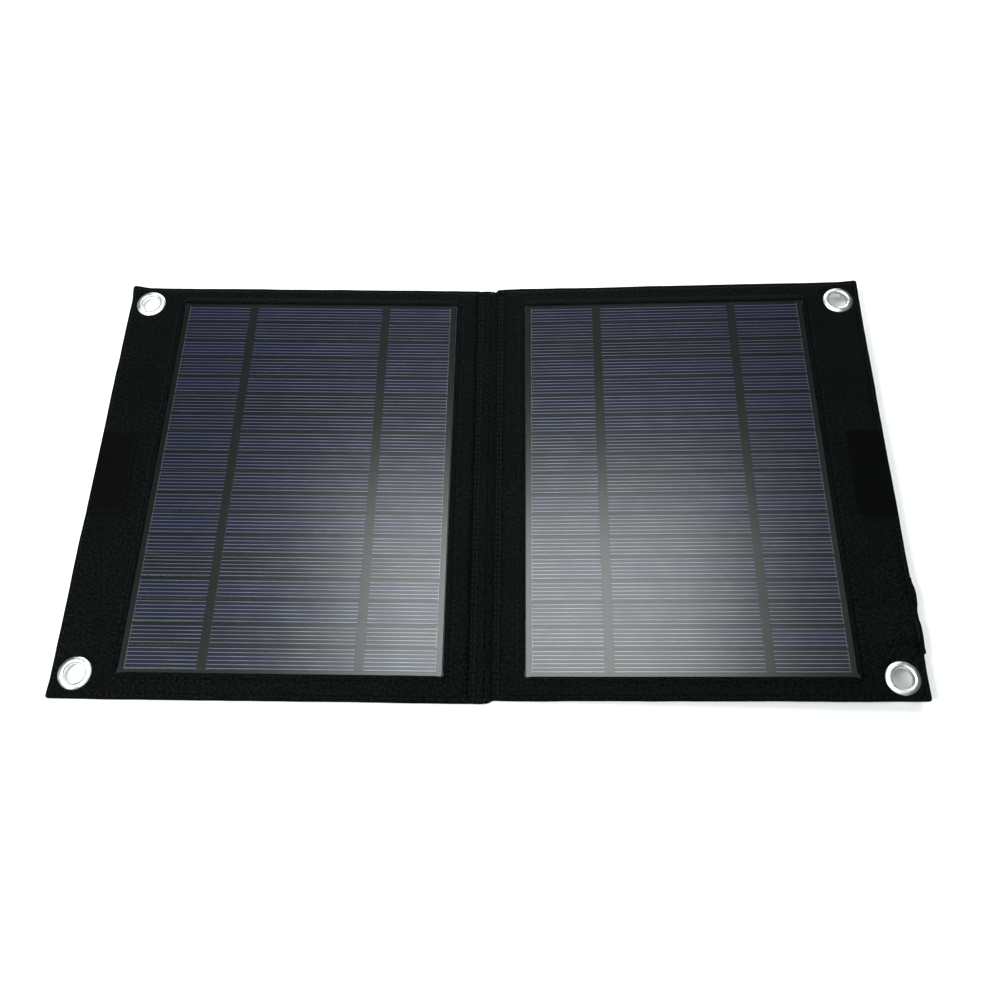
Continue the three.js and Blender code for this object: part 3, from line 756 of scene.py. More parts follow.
def stations(*spans):
    """Stations along a line, from spans of start, end and step."""
    marks = []
    for start, end, step in spans:
        count = max(1, round((end - start) / step))
        marks += [start + (end - start) * i / count for i in range(count)]
    return marks + [spans[-1][1]]


def edge_distance(u, y):
    """From a point to the leaf's outer edge, in millimetres."""
    corner = sizes().leaf_corner / MM
    across, along = LEAF_U - u, LEAF_Y - abs(y)
    if across < corner and along < corner:
        return corner - math.hypot(corner - across, corner - along)
    return min(across, along)


def window_distance(u, y):
    """From a point to the window's edge, in millimetres, negative inside the window."""
    corner = sizes().window_corner / MM
    across, along = abs(u - WINDOW_MIDDLE) - WINDOW_HALF + corner, abs(y) - WINDOW_Y + corner
    outside = math.hypot(max(across, 0), max(along, 0))
    return outside + min(max(across, along), 0) - corner


def eyelet_distance(u, y):
    """From a point to the middle of the leaf's nearest eyelet."""
    return math.hypot(u - EYELET_U, abs(y) - EYELET_Y)


def rounded(u, y):
    """Draws the square corners of a leaf's outline and window round, and clears the eyelets."""
    corner = sizes().leaf_corner / MM
    across, along = u - (LEAF_U - corner), abs(y) - (LEAF_Y - corner)
    if across > 0 and along > 0:
        pull = max(across, along) / math.hypot(across, along)
        u, y = LEAF_U - corner + across * pull, math.copysign(LEAF_Y - corner + along * pull, y)
    corner = sizes().window_corner / MM
    near_u, near_y = min(max(u, WINDOW_START), WINDOW_END), min(abs(y), WINDOW_Y)
    across = abs(near_u - WINDOW_MIDDLE) - WINDOW_HALF + corner
    along = near_y - WINDOW_Y + corner
    if across > 0 and along > 0:
        pull = max(across, along) / math.hypot(across, along) - 1
        fade = 1 - ease(math.hypot(u - near_u, abs(y) - near_y), 0, 8)
        u += math.copysign(across * pull * fade, u - WINDOW_MIDDLE)
        y += math.copysign(along * pull * fade, y)
    radius = eyelet_distance(u, y)
    if 0 < radius < CLOTH_HOLE:
        push = CLOTH_HOLE / radius
        u = EYELET_U + (u - EYELET_U) * push
        y = math.copysign(EYELET_Y + (abs(y) - EYELET_Y) * push, y)
    return u, y


def plan(side, u, y):
    """Where sewing has drawn a point of the cover: edges wander a little, and the right leaf is
    sewn slightly further along the spine than the left."""
    seed = 2 if side == "left" else 5
    outer = 1 - ease(LEAF_U - u, 0, 13)
    end = 1 - ease(LEAF_Y - abs(y), 0, 10)
    moved_u = u + outer * (0.4 * wave(0, y, 34, seed) + 0.15 * wave(3, y, 9, seed))
    moved_y = y + end * (0.35 * wave(u, y, 40, seed + 1) + 0.15 * wave(u, y, 10, seed + 1))
    if side == "right":
        moved_y += 1.5 * end * ease(u, -5.0, -1.5)
        if y > 0:
            moved_y -= end * 1.5 * math.exp(-(((u + 3.2) / 1.1) ** 2))
    return moved_u, moved_y


def corner_lift(side, u, y):
    """How far a corner of the cover curls up past its eyelet."""
    lift = {("left", 1): 2.2, ("left", -1): 0.7, ("right", 1): 0.9, ("right", -1): 0.4}
    reach = math.hypot(LEAF_U - u, LEAF_Y - abs(y))
    return lift[side, 1 if y > 0 else -1] * ease(reach, 11.0, 0.5)


# the cloth's profiles in millimetres: distance from an edge or a crease, and height there; the
# window's two are added to the leaf's
FRONT_EDGE = (
    (0, 1.35), (0.35, 2.0), (1.1, 2.32), (2.1, 2.12), (3.3, 2.9), (5, 3.08), (9.3, 3.1), (10.6, 2.95),
)
FRONT_CREASE = ((-6, 2.5), (-4, 2.42), (-1.3, 1.8), (0, 1.55), (1.3, 1.75), (3.9, 3.0))
WINDOW_EDGE = ((0, 0.35), (0.3, 0.72), (0.9, 0.86), (2.2, 0.62), (3.8, 0.02), (4.9, 0.12), (7.5, 0))
WINDOW_LAP = ((0, 1.9), (1.5, 1.88), (2.4, 1.5), (3.8, 0.5), (5.2, 0.12), (7.5, 0))
BACK_EDGE = ((0, 1.0), (0.4, 0.64), (1.2, 0.5), (2.1, 0.64), (3.4, 0.38), (5, 0.35))
BACK_CREASE = ((-4, 0.35), (-1.3, 0.72), (0, 0.95), (1.3, 0.76), (3.8, 0.35))
# along the flap from its near end, and how far it swells outward there
FLAP_PUSH = (
    (0, 0.1), (3, 0.2), (8, 0.5), (14, 0.45), (18, -0.2), (22, -0.25), (26, 0.5), (31, 0.8), (34.5, 0.5),
    (36.5, -0.3), (40, -0.3),
)
SWELL = 2.6  # how high the right leaf's front swells over the regulator's end
FOLD = 0.9  # how deep the fold is beside the pull tab


def pucker(u, y, seed):
    """The small gathers that a row of stitches pulls along the hem."""
    edge = edge_distance(u, y)
    run = u if LEAF_Y - abs(y) < LEAF_U - u else y
    swing = math.sin(math.tau * run / 6.1 + 2.5 * wave(u, y, 15, seed))
    return swing * math.exp(-(((edge - 2.1) / 1.6) ** 2))


def front_height(side, u, y):
    """Height of the middle of the front cloth over the leaf's back, in millimetres."""
    seed = 11 if side == "left" else 23
    edge, radius = edge_distance(u, y), eyelet_distance(u, y)
    height = min(profile(edge, FRONT_EDGE), profile(u, FRONT_CREASE))
    beyond = abs(u - WINDOW_MIDDLE) - WINDOW_HALF
    lap = ease(abs(y), WINDOW_Y - 4, WINDOW_Y - 1) * (1 - ease(beyond, 0.5, 3.5))
    gap = window_distance(u, y)
    height += profile(gap, WINDOW_EDGE) * (1 - lap) + profile(gap, WINDOW_LAP) * lap
    loose = ease(edge, 1.5, 6) * ease(abs(u), 2, 6) * ease(radius, 9.5, 14)
    ripple = wave(u, y, 17, seed) + 0.5 * wave(u, y, 6.5, seed + 1) + 0.35
    height += sizes().ripple / MM * loose * ripple + 0.09 * pucker(u, y, seed)
    if side == "right":
        height += SWELL * swelling(u, y, edge) - FOLD * fold_line(u, y)
    if radius < LOOSE:
        height = min(height, 2.4 + 0.6 * ease(radius, CRUSHED, LOOSE))
    return height + corner_lift(side, u, y)


def swelling(u, y, edge):
    """Where the regulator's end lifts the right leaf's front, from 0 to 1."""
    return ease(y, -97, -93.5) * (1 - ease(y, -90, -72)) * ease(u, 186, 200) * ease(edge, 0, 2.5)


def fold_line(u, y):
    """The short slanting fold that the flap's pull tab draws in the right leaf's front."""
    start, end = Vector((197.5, -86.0)), Vector((213.0, -96.5))
    point, line = Vector((u, y)), end - start
    t = min(max((point - start).dot(line) / line.length_squared, 0), 1)
    return math.exp(-(((point - start - t * line).length / 0.8) ** 2)) * ease(t, -0.2, 0.3)


def back_height(side, u, y):
    """Height of the middle of the back cloth, in millimetres."""
    seed = 31 if side == "left" else 43
    edge, radius = edge_distance(u, y), eyelet_distance(u, y)
    height = max(profile(edge, BACK_EDGE), profile(u, BACK_CREASE))
    loose = ease(edge, 3, 8) * ease(abs(u), 4, 9) * ease(radius, 10.5, 16)
    height += 0.07 * loose * (1 + wave(u, y, 22, seed)) + 0.03 * (1 + pucker(u, y, seed))
    if radius < LOOSE:
        height = max(height, 1.55 - 1.2 * ease(radius, CRUSHED, LOOSE))
    return height + corner_lift(side, u, y)


def cloth_sheet(name, us, ys, kept, point, flip):
    """A sheet of cloth over a net of stations, without the squares that kept leaves out. Its
    UV map holds its flat place in metres."""
    mesh = bmesh.new()
    flat = mesh.loops.layers.uv.new("cloth")
    net = [[mesh.verts.new(point(u, y)) for u in us] for y in ys]
    for j in range(len(ys) - 1):
        for i in range(len(us) - 1):
            if not kept((us[i] + us[i + 1]) / 2, (ys[j] + ys[j + 1]) / 2):
                continue
            around = [(i, j), (i + 1, j), (i + 1, j + 1), (i, j + 1)]
            if flip:
                around.reverse()
            face = mesh.faces.new([net[b][a] for a, b in around])
            for loop, (a, b) in zip(face.loops, around):
                loop[flat].uv = (us[a] * MM, ys[b] * MM)
    bmesh.ops.delete(mesh, geom=[v for v in mesh.verts if not v.link_faces], context="VERTS")
    data = bpy.data.meshes.new(name)
    mesh.to_mesh(data)
    mesh.free()
    piece = bpy.data.objects.new(name, data)
    bpy.context.scene.collection.objects.link(piece)
    return piece


def give_wall(piece):
    """Gives a sheet its thickness, and rounds it by subdividing."""
    modify(piece, "SOLIDIFY", thickness=sizes().fabric, offset=0.0, use_even_offset=True)
    modify(piece, "SUBSURF", levels=1, render_levels=1)
    soften(piece, 60)


def across_crease(piece, side):
    """Bends a piece from its leaf into the spine over its crease."""
    reach = Vector((0.003, 0, 0))
    if side == "left":
        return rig.blend(piece, "left_leaf", "spine", LEFT_CREASE - reach, LEFT_CREASE + reach)
    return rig.blend(piece, "spine", "right_leaf", RIGHT_CREASE - reach, RIGHT_CREASE + reach)


def cover_stations(step):
    """Stations across and along a cover, close at creases, hems and the window's edges."""
    us = stations(
        (-CREASE_X, -3.0, 0.75),
        (-3.0, 3.0, 0.5),
        (3.0, WINDOW_START, 1.2),
        (WINDOW_START, WINDOW_END, step),
        (WINDOW_END, WINDOW_END + 5, 1.0),
        (WINDOW_END + 5, LEAF_U - 4, min(step, 1.6)),
        (LEAF_U - 4, LEAF_U, 0.5),
    )
    half = stations((0.0, WINDOW_Y, step), (WINDOW_Y, LEAF_Y - 4, 0.95), (LEAF_Y - 4, LEAF_Y, 0.5))
    return us, [-y for y in reversed(half[1:])] + half


def sew_cover(side, layer, height, net, window, bands, **more):
    """Sews one cover of a leaf from its heights over a net of stations, with or without the
    window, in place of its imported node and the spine's bands."""

    def point(u, y):
        u, y = rounded(u, y)
        return on_leaf(side, *plan(side, u, y), height(side, u, y))

    def kept(u, y):
        open_here = window and WINDOW_START < u < WINDOW_END and abs(y) < WINDOW_Y
        return not open_here and eyelet_distance(u, y) > CLOTH_HOLE

    flip = (side == "left") == (layer == "front")
    cover = cloth_sheet(f"{side}_{layer}_cloth", *net, kept, point, flip)
    give_wall(cover)
    dress(cover, cover_cloth(), "cover_cloth")
    across_crease(cover, side)
    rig.replaces(cover, f"{side}_{layer}_cover", *bands)
    size = ((CREASE_X + LEAF_U) * MM, 2 * LEAF_Y * MM)
    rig.sheet(cover, flat=size, held="stretched", rests_on=[f"{side}_stiffener_board"], **more)


class PANEL_OT_front_covers(bpy.types.Operator):
    """Sews the two front covers, each with its window, from the leaf's edge to the spine"""

    bl_idname = "panel.front_covers"
    bl_label = "Front Covers"

    def execute(self, context):
        net = cover_stations(2.2)
        area = ((CREASE_X + LEAF_U) * 2 * LEAF_Y - 4 * WINDOW_HALF * WINDOW_Y) * MM * MM
        for side, bands in (("left", ["spine_front_band"]), ("right", [])):
            sew_cover(side, "front", front_height, net, True, bands, area=area)
        return {"FINISHED"}


class PANEL_OT_back_covers(bpy.types.Operator):
    """Sews the two back covers, from the leaf's edge to the spine"""

    bl_idname = "panel.back_covers"
    bl_label = "Back Covers"

    def execute(self, context):
        net = cover_stations(3.2)
        for side, bands in (("left", ["spine_back_band"]), ("right", [])):
            sew_cover(side, "back", back_height, net, False, bands)
        return {"FINISHED"}


# ---- Sewing ----


def walk(path, pitch):
    """Points every so many millimetres along a path, each with the path's direction there."""
    places, left = [], pitch / 2
    for (u0, y0), (u1, y1) in zip(path, path[1:]):
        run = math.hypot(u1 - u0, y1 - y0)
        while left < run:
            t = left / run
            places.append((u0 + (u1 - u0) * t, y0 + (y1 - y0) * t, (u1 - u0) / run, (y1 - y0) / run))
            left += pitch
        left -= run
    return places


def arc(middle_u, middle_y, radius, start, end):
    """Points along an arc, angles in degrees."""
    steps = 8
    turns = [math.radians(start + (end - start) * i / steps) for i in range(steps + 1)]
    return [(middle_u + radius * math.cos(a), middle_y + radius * math.sin(a)) for a in turns]


def one_stitch():
    """A single stitch: a bead drawn out along X and pressed flat, ends sunk into the cloth."""
    deselect()
    width = sizes().stitch_width
    bpy.ops.mesh.primitive_uv_sphere_add(segments=8, ring_count=6, radius=1)
    stitch = new_piece("stitch")
    stitch.rotation_euler = (0, math.pi / 2, 0)
    settle(stitch)
    stitch.scale = (sizes().stitch_pitch * 0.4, width / 2, width * 0.42)
    settle(stitch)
    bpy.ops.object.mode_set(mode="EDIT")
    reach = sizes().stitch_pitch * 0.25
    pick(stitch, "VERT", lambda v: abs(v.co.x) > reach)
    bpy.ops.transform.translate(value=(0, 0, -0.12 * MM))
    bpy.ops.object.mode_set(mode="OBJECT")
    return soften(stitch, 80)


def sewn(name, places):
    """A row of stitches at the given matrices, joined into one piece."""
    stitch = one_stitch()
    row = [light_copy(stitch, matrix) for matrix in places]
    bpy.data.objects.remove(stitch)
    thread = finish_of(bonded_thread, "bonded_polyester_thread")
    return dress(joined(row, name), thread, "cover_cloth")


def stitch_matrix(side, u, y, along_u, along_y, height, proud):
    """The place and turn of a stitch on a cover."""

    def at(step_u, step_y, lift):
        near_u, near_y = u + step_u, y + step_y
        z = height(side, near_u, near_y) + lift
        return on_leaf(side, *plan(side, near_u, near_y), z)

    middle = at(0, 0, proud)
    step_u, step_y = along_u * 0.6, along_y * 0.6
    forward = (at(step_u, step_y, 0) - at(-step_u, -step_y, 0)).normalized()
    upward = (at(0, 0, proud) - at(0, 0, 0)).normalized()
    aside = upward.cross(forward).normalized()
    upward = forward.cross(aside)
    turn = Matrix((forward, aside, upward)).transposed().to_4x4()
    return Matrix.Translation(middle) @ turn


class PANEL_OT_seams(bpy.types.Operator):
    """Sews the rows of stitches: hems, windows and the two lines along each crease"""

    bl_idname = "panel.seams"
    bl_label = "Seams"

    def execute(self, context):
        pitch = sizes().stitch_pitch / MM
        inset, corner = sizes().hem_seam / MM, sizes().leaf_corner / MM
        edge_u, edge_y, turn = LEAF_U - inset, LEAF_Y - inset, corner - inset + 0.8
        hem = [(-CREASE_X, -edge_y), (edge_u - turn, -edge_y)]
        hem += arc(edge_u - turn, -edge_y + turn, turn, -90, 0)
        hem += arc(edge_u - turn, edge_y - turn, turn, 0, 90)
        hem += [(edge_u - turn, edge_y), (-CREASE_X, edge_y)]
        gap = sizes().window_seam / MM
        low, high, end = WINDOW_START - gap, WINDOW_END + gap, WINDOW_Y + gap
        turn = sizes().window_corner / MM + gap
        window = [((low + high) / 2, -end)]
        window += arc(high - turn, -end + turn, turn, -90, 0)
        window += arc(high - turn, end - turn, turn, 0, 90)
        window += arc(low + turn, end - turn, turn, 90, 180)
        window += arc(low + turn, -end + turn, turn, 180, 270)
        window += [((low + high) / 2, -end)]
        creases = [[(at, -edge_y + 1), (at, edge_y - 1)] for at in (-0.9, 0.9)]
        half = sizes().fabric / 2 / MM
        layers = (("front", front_height, half), ("back", back_height, -half))
        for side in ("left", "right"):
            rows = {"hem": [hem], "window": [window], "crease": creases}
            for row, paths in rows.items():
                for layer, height, proud in layers:
                    if row == "window" and layer == "back":
                        continue
                    places = [
                        stitch_matrix(side, *place, height, proud)
                        for path in paths
                        for place in walk(path, pitch)
                        if eyelet_distance(*place[:2]) > STITCH_CLEAR
                    ]
                    across_crease(sewn(f"{side}_{layer}_{row}_stitches", places), side)
        return {"FINISHED"}


# ---- Cell modules ----


class PANEL_OT_modules(bpy.types.Operator):
    """Lays up the two cell modules: laminate, rows of cells and their two ribbons"""

    bl_idname = "panel.modules"
    bl_label = "Cell Modules"

    def execute(self, context):
        # the rows stand 0.1 mm proud of the laminate, and the ribbons 0.06 mm proud of the rows
        corner = sizes().plate_corner / MM
        back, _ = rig.box("left_module_backsheet")
        low, high, top = PLATE_LOW / MM, PLATE_HIGH / MM, PLATE_HIGH.z / MM
        near, far = (low.x, low.y, back.z / MM), (high.x, high.y, top - 0.17)
        plate = face_out(block("left_laminate", near, far, corner, 0.16))
        row = self.row_of_cells(CELLS_LOW / MM, CELLS_HIGH / MM, top)
        cells = self.stacked(row, "left_cells")
        bars = []
        for name in ("left_inner_ribbon", "left_outer_ribbon"):
            start, end = (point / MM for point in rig.box(name))
            near, far = (start.x, start.y, top - 0.2), (end.x, end.y, top - 0.01)
            bars.append(block(name + "_bar", near, far, 0.2, 0.04, 1))
        ribbons = joined(bars, "left_ribbons")
        board = finish_of(glass_laminate, "black_glass_laminate")
        silicon = finish_of(printed_silicon, "printed_silicon_cell")
        copper = finish_of(coated_ribbon, "coated_copper_ribbon")
        for piece, finish, slot, covered in (
            (plate, board, "front_laminate", ("front_laminate", "module_backsheet")),
            (cells, silicon, "silicon_cell", ("cell_string",)),
            (ribbons, copper, "coated_ribbon", ("inner_ribbon", "outer_ribbon")),
        ):
            twin = to_right(piece, piece.name.replace("left", "right"))
            if "strip" in twin.data.uv_layers:
                for loop in twin.data.uv_layers["strip"].data:
                    loop.uv.y += ROW_COUNT * ROW_STEP * MM
            for side, made in (("left", piece), ("right", twin)):
                fit(made, finish, slot, f"{side}_leaf", *(f"{side}_{node}" for node in covered))
        return {"FINISHED"}

    def row_of_cells(self, low, high, top):
        """One row of cells at the near end, with its UV map in metres along and across it."""
        width = sizes().strip_width / MM
        near, far = (low.x, low.y, top - 0.25), (high.x, low.y + width, top - 0.07)
        row = block("row", near, far, 0.2, 0.04, 1)
        while row.data.uv_layers:
            row.data.uv_layers.remove(row.data.uv_layers[0])
        flat = row.data.uv_layers.new(name="strip")
        for loop in row.data.loops:
            place = row.data.vertices[loop.vertex_index].co
            flat.data[loop.index].uv = (place.x - low.x * MM, place.y - low.y * MM)
        return row

    def stacked(self, row, name):
        """Copies a row of cells along the module."""
        rows = [row]
        for index in range(1, ROW_COUNT):
            copy = copy_of(row, "row", Matrix.Translation((0, index * sizes().strip_pitch, 0)))
            for loop in copy.data.uv_layers["strip"].data:
                loop.uv.y += index * ROW_STEP * MM
            rows.append(copy)
        return joined(rows, name)


# ---- Eyelets ----


class PANEL_OT_eyelets(bpy.types.Operator):
    """Turns and sets the four rolled eyelets and their washers"""

    bl_idname = "panel.eyelets"
    bl_label = "Eyelets"

    def execute(self, context):
        top, outer, hole = EYELET_TOP, EYELET_R, EYELET_BORE
        # outlines of radius and height, in order round each ring
        rim = [
            (hole, 0.55), (hole, 2.6), (hole + 0.06, 3.1), (hole + 0.3, 3.52), (hole + 0.75, top - 0.06),
            (hole + 1.25, top), (hole + 1.75, top - 0.03), (outer - 1.0, top - 0.3),
            (outer - 0.45, top - 0.55), (outer - 0.1, top - 0.78), (outer, top - 0.92),
            (outer - 0.08, top - 1.02), (outer - 0.35, top - 1.0), (hole + 1.6, 3.0), (hole + 0.9, 2.85),
            (hole + 0.7, 2.5), (hole + 0.7, 0.6), (hole + 0.95, 0.46), (hole + 1.6, 0.44),
            (hole + 1.95, 0.3), (hole + 1.9, 0.08), (hole + 1.4, 0.0), (hole + 0.7, 0.03),
            (hole + 0.2, 0.2),
        ]
        washer = [
            (hole + 1.15, 0.62), (hole + 1.3, 0.56), (outer - 0.2, 0.56), (outer + 0.08, 0.66),
            (outer + 0.1, 0.9), (outer - 0.1, 1.03), (hole + 1.3, 1.03), (hole + 1.15, 0.95),
        ]
        plate = finish_of(nickel_plate, "nickel_plated_eyelet")
        for part, outline in (("eyelet", rim), ("washer", washer)):
            for end, sign in (("top", 1), ("bottom", -1)):
                centre = (-(CREASE_X + EYELET_U), sign * EYELET_Y)
                left = turned(f"left_{end}_{part}_ring", outline, centre)
                right = to_right(left, f"right_{end}_{part}_ring")
                for side, ring in (("left", left), ("right", right)):
                    fit(ring, plate, "plated_eyelet", f"{side}_leaf", f"{side}_{end}_{part}")
        return {"FINISHED"}


# ---- Hook and loop ----


class PANEL_OT_closure(bpy.types.Operator):
    """Weaves the hook patch on the left leaf and the loop patch on the right one"""

    bl_idname = "panel.closure"
    bl_label = "Hook and Loop"

    def execute(self, context):
        low, high = HOOK_LOW / MM, HOOK_HIGH / MM
        base = low.z + 0.55
        hook = self.bent("hook", 0.13, 0.5, 0.3, 215, 6)
        hooks = self.planted(hook, "left_hooks", low, high, base - 0.05, 14, 36, 0.0)
        tape = block("left_hook_tape", low, (high.x, high.y, base), 1.2, 0.15, 3)
        piece = joined([tape, hooks], "left_hook_tape")
        finish = self.tape("woven_nylon_hook_tape", 0.55)
        fit(piece, finish, "hook_tape", "left_leaf", "left_hook_patch")
        loop = self.bent("loop", 0.1, 0.35, 0.42, 180, 5)
        pile = self.planted(loop, "pile", low, high, base - 0.05, 15, 40, 1.0)
        tape = block("loop_base", low, (high.x, high.y, base), 1.2, 0.15, 3)
        pattern = joined([tape, pile], "loops")
        piece = to_right(pattern, "right_loop_tape")
        bpy.data.objects.remove(pattern)
        finish = self.tape("brushed_nylon_loop_tape", 0.95)
        fit(piece, finish, "loop_tape", "right_leaf", "right_loop_patch")
        return {"FINISHED"}

    def tape(self, name, rough):
        """Nylon closure tape: deep black, a fine fibrous surface that takes in most light."""
        return finish_of(moulded, name, "#010101", "#050606", rough, 0.35, 0.06, 1.53, 0.04)

    def bent(self, name, radius, stem, bow, turn, steps):
        """A bent filament: a short upright stem that turns over into a bow."""
        deselect()
        bpy.ops.mesh.primitive_circle_add(vertices=5, radius=radius * MM, fill_type="NGON")
        piece = new_piece(name)
        bpy.ops.object.mode_set(mode="EDIT")
        bpy.ops.mesh.select_all(action="SELECT")
        bpy.ops.mesh.extrude_region_move(TRANSFORM_OT_translate={"value": (0, 0, stem * MM)})
        centre = (bow * MM, 0, stem * MM)
        bpy.ops.mesh.spin(steps=steps, angle=math.radians(turn), center=centre, axis=(0, 1, 0))
        bpy.ops.object.mode_set(mode="OBJECT")
        return soften(face_out(piece), 60)

    def planted(self, filament, name, low, high, base, across, along, scatter):
        """Copies a filament over a tape in rows, turned and shifted by a share of scatter."""
        made = []
        margin = 1.2
        span_x, span_y = high.x - low.x - 2 * margin, high.y - low.y - 2 * margin
        for j in range(along):
            for i in range(across):
                draw = noise.cell_vector(Vector((i * 3.1 + 0.5, j * 2.7 + 0.5, 4.5)))
                jitter = draw - Vector((0.5, 0.5, 0.5))
                x = low.x + margin + span_x * (i + 0.5) / across + jitter.x * scatter * 0.8
                y = low.y + margin + span_y * (j + 0.5) / along + jitter.y * scatter * 0.8
                turn = math.tau * jitter.z * scatter + (math.pi if (i + j) % 2 else 0)
                place = Matrix.Translation(Vector((x, y, base)) * MM)
                made.append(light_copy(filament, place @ Matrix.Rotation(turn, 4, "Z")))
        bpy.data.objects.remove(filament)
        return joined(made, name)


# ---- Regulator, its sleeve and flap ----


def flat_box(name):
    """A right-leaf node's box in millimetres with the lean taken out."""
    node = frame["nodes"][name]
    back = LEANING.inverted()
    points = [back @ vertex.co for vertex in node.data.vertices]
    low = Vector([min(p[i] for p in points) for i in range(3)]) / MM
    high = Vector([max(p[i] for p in points) for i in range(3)]) / MM
    return low, high


def eased_copy(name, node, edge):
    """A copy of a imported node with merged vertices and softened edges."""
    piece = bpy.data.objects.new(name, frame["nodes"][node].data.copy())
    bpy.context.scene.collection.objects.link(piece)
    only(piece)
    bpy.ops.object.mode_set(mode="EDIT")
    bpy.ops.mesh.select_all(action="SELECT")
    bpy.ops.mesh.remove_doubles(threshold=0.002 * MM)
    bpy.ops.mesh.dissolve_limited(angle_limit=math.radians(1))
    bpy.ops.object.mode_set(mode="OBJECT")
    sharp = math.radians(40)
    modify(piece, "BEVEL", width=edge * MM, segments=2, limit_method="ANGLE", angle_limit=sharp)
    return soften(piece, 35)


class PANEL_OT_regulator(bpy.types.Operator):
    """Moulds the charge regulator's two halves and fits its socket, tongue and lamp"""

    bl_idname = "panel.regulator"
    bl_label = "Charge Regulator"

    def execute(self, context):
        shell = finish_of(moulded, "moulded_abs_shell", "#101213", "#191c1d", 0.5, 0.5, 0.02)
        nylon = finish_of(moulded, "moulded_nylon_tongue", "#cfcdc2", "#dedcd2", 0.4, 0.8, 0.005)
        red = ("#7d1713", "#a3241d")
        lens = finish_of(moulded, "moulded_polycarbonate_lens", *red, 0.12, 1.2, 0.003, 1.58)
        steel = finish_of(nickel_plate, "nickel_plated_steel_socket", 0.24, "#c4c7c9")
        for name, node, edge, material, slot in (
            ("regulator_base_moulding", "regulator_base", 0.45, shell, "regulator_shell"),
            ("regulator_lid_moulding", "regulator_lid", 0.45, shell, "regulator_shell"),
            ("socket_shell_folded", "output_socket_shell", 0.08, steel, "socket_shell"),
            ("socket_tongue_moulding", "output_socket_tongue", 0.12, nylon, "tongue_plastic"),
            ("lamp_lens_moulding", "status_lens", 0.25, lens, "lens_plastic"),
        ):
            fit(eased_copy(name, node, edge), material, slot, "right_leaf", node)
        self.contacts()
        return {"FINISHED"}

    def contacts(self):
        """Four sprung contacts along the tongue."""
        low, high = flat_box("output_socket_tongue")
        middle = (low.y + high.y) / 2
        strips = []
        for offset in (-3.5, -1.0, 1.0, 3.5):
            start = (high.x - 7.5, middle + offset - 0.5, high.z - 0.04)
            end = (high.x - 0.6, middle + offset + 0.5, high.z + 0.12)
            strips.append(block("contact", start, end, 0.15, 0.05, 2))
        piece = joined(strips, "socket_contacts")
        piece.matrix_world = LEANING
        settle(piece)
        gold = finish_of(nickel_plate, "gold_flashed_contact", 0.2, "#d8b35c")
        fit(piece, gold, "socket_shell", "right_leaf")


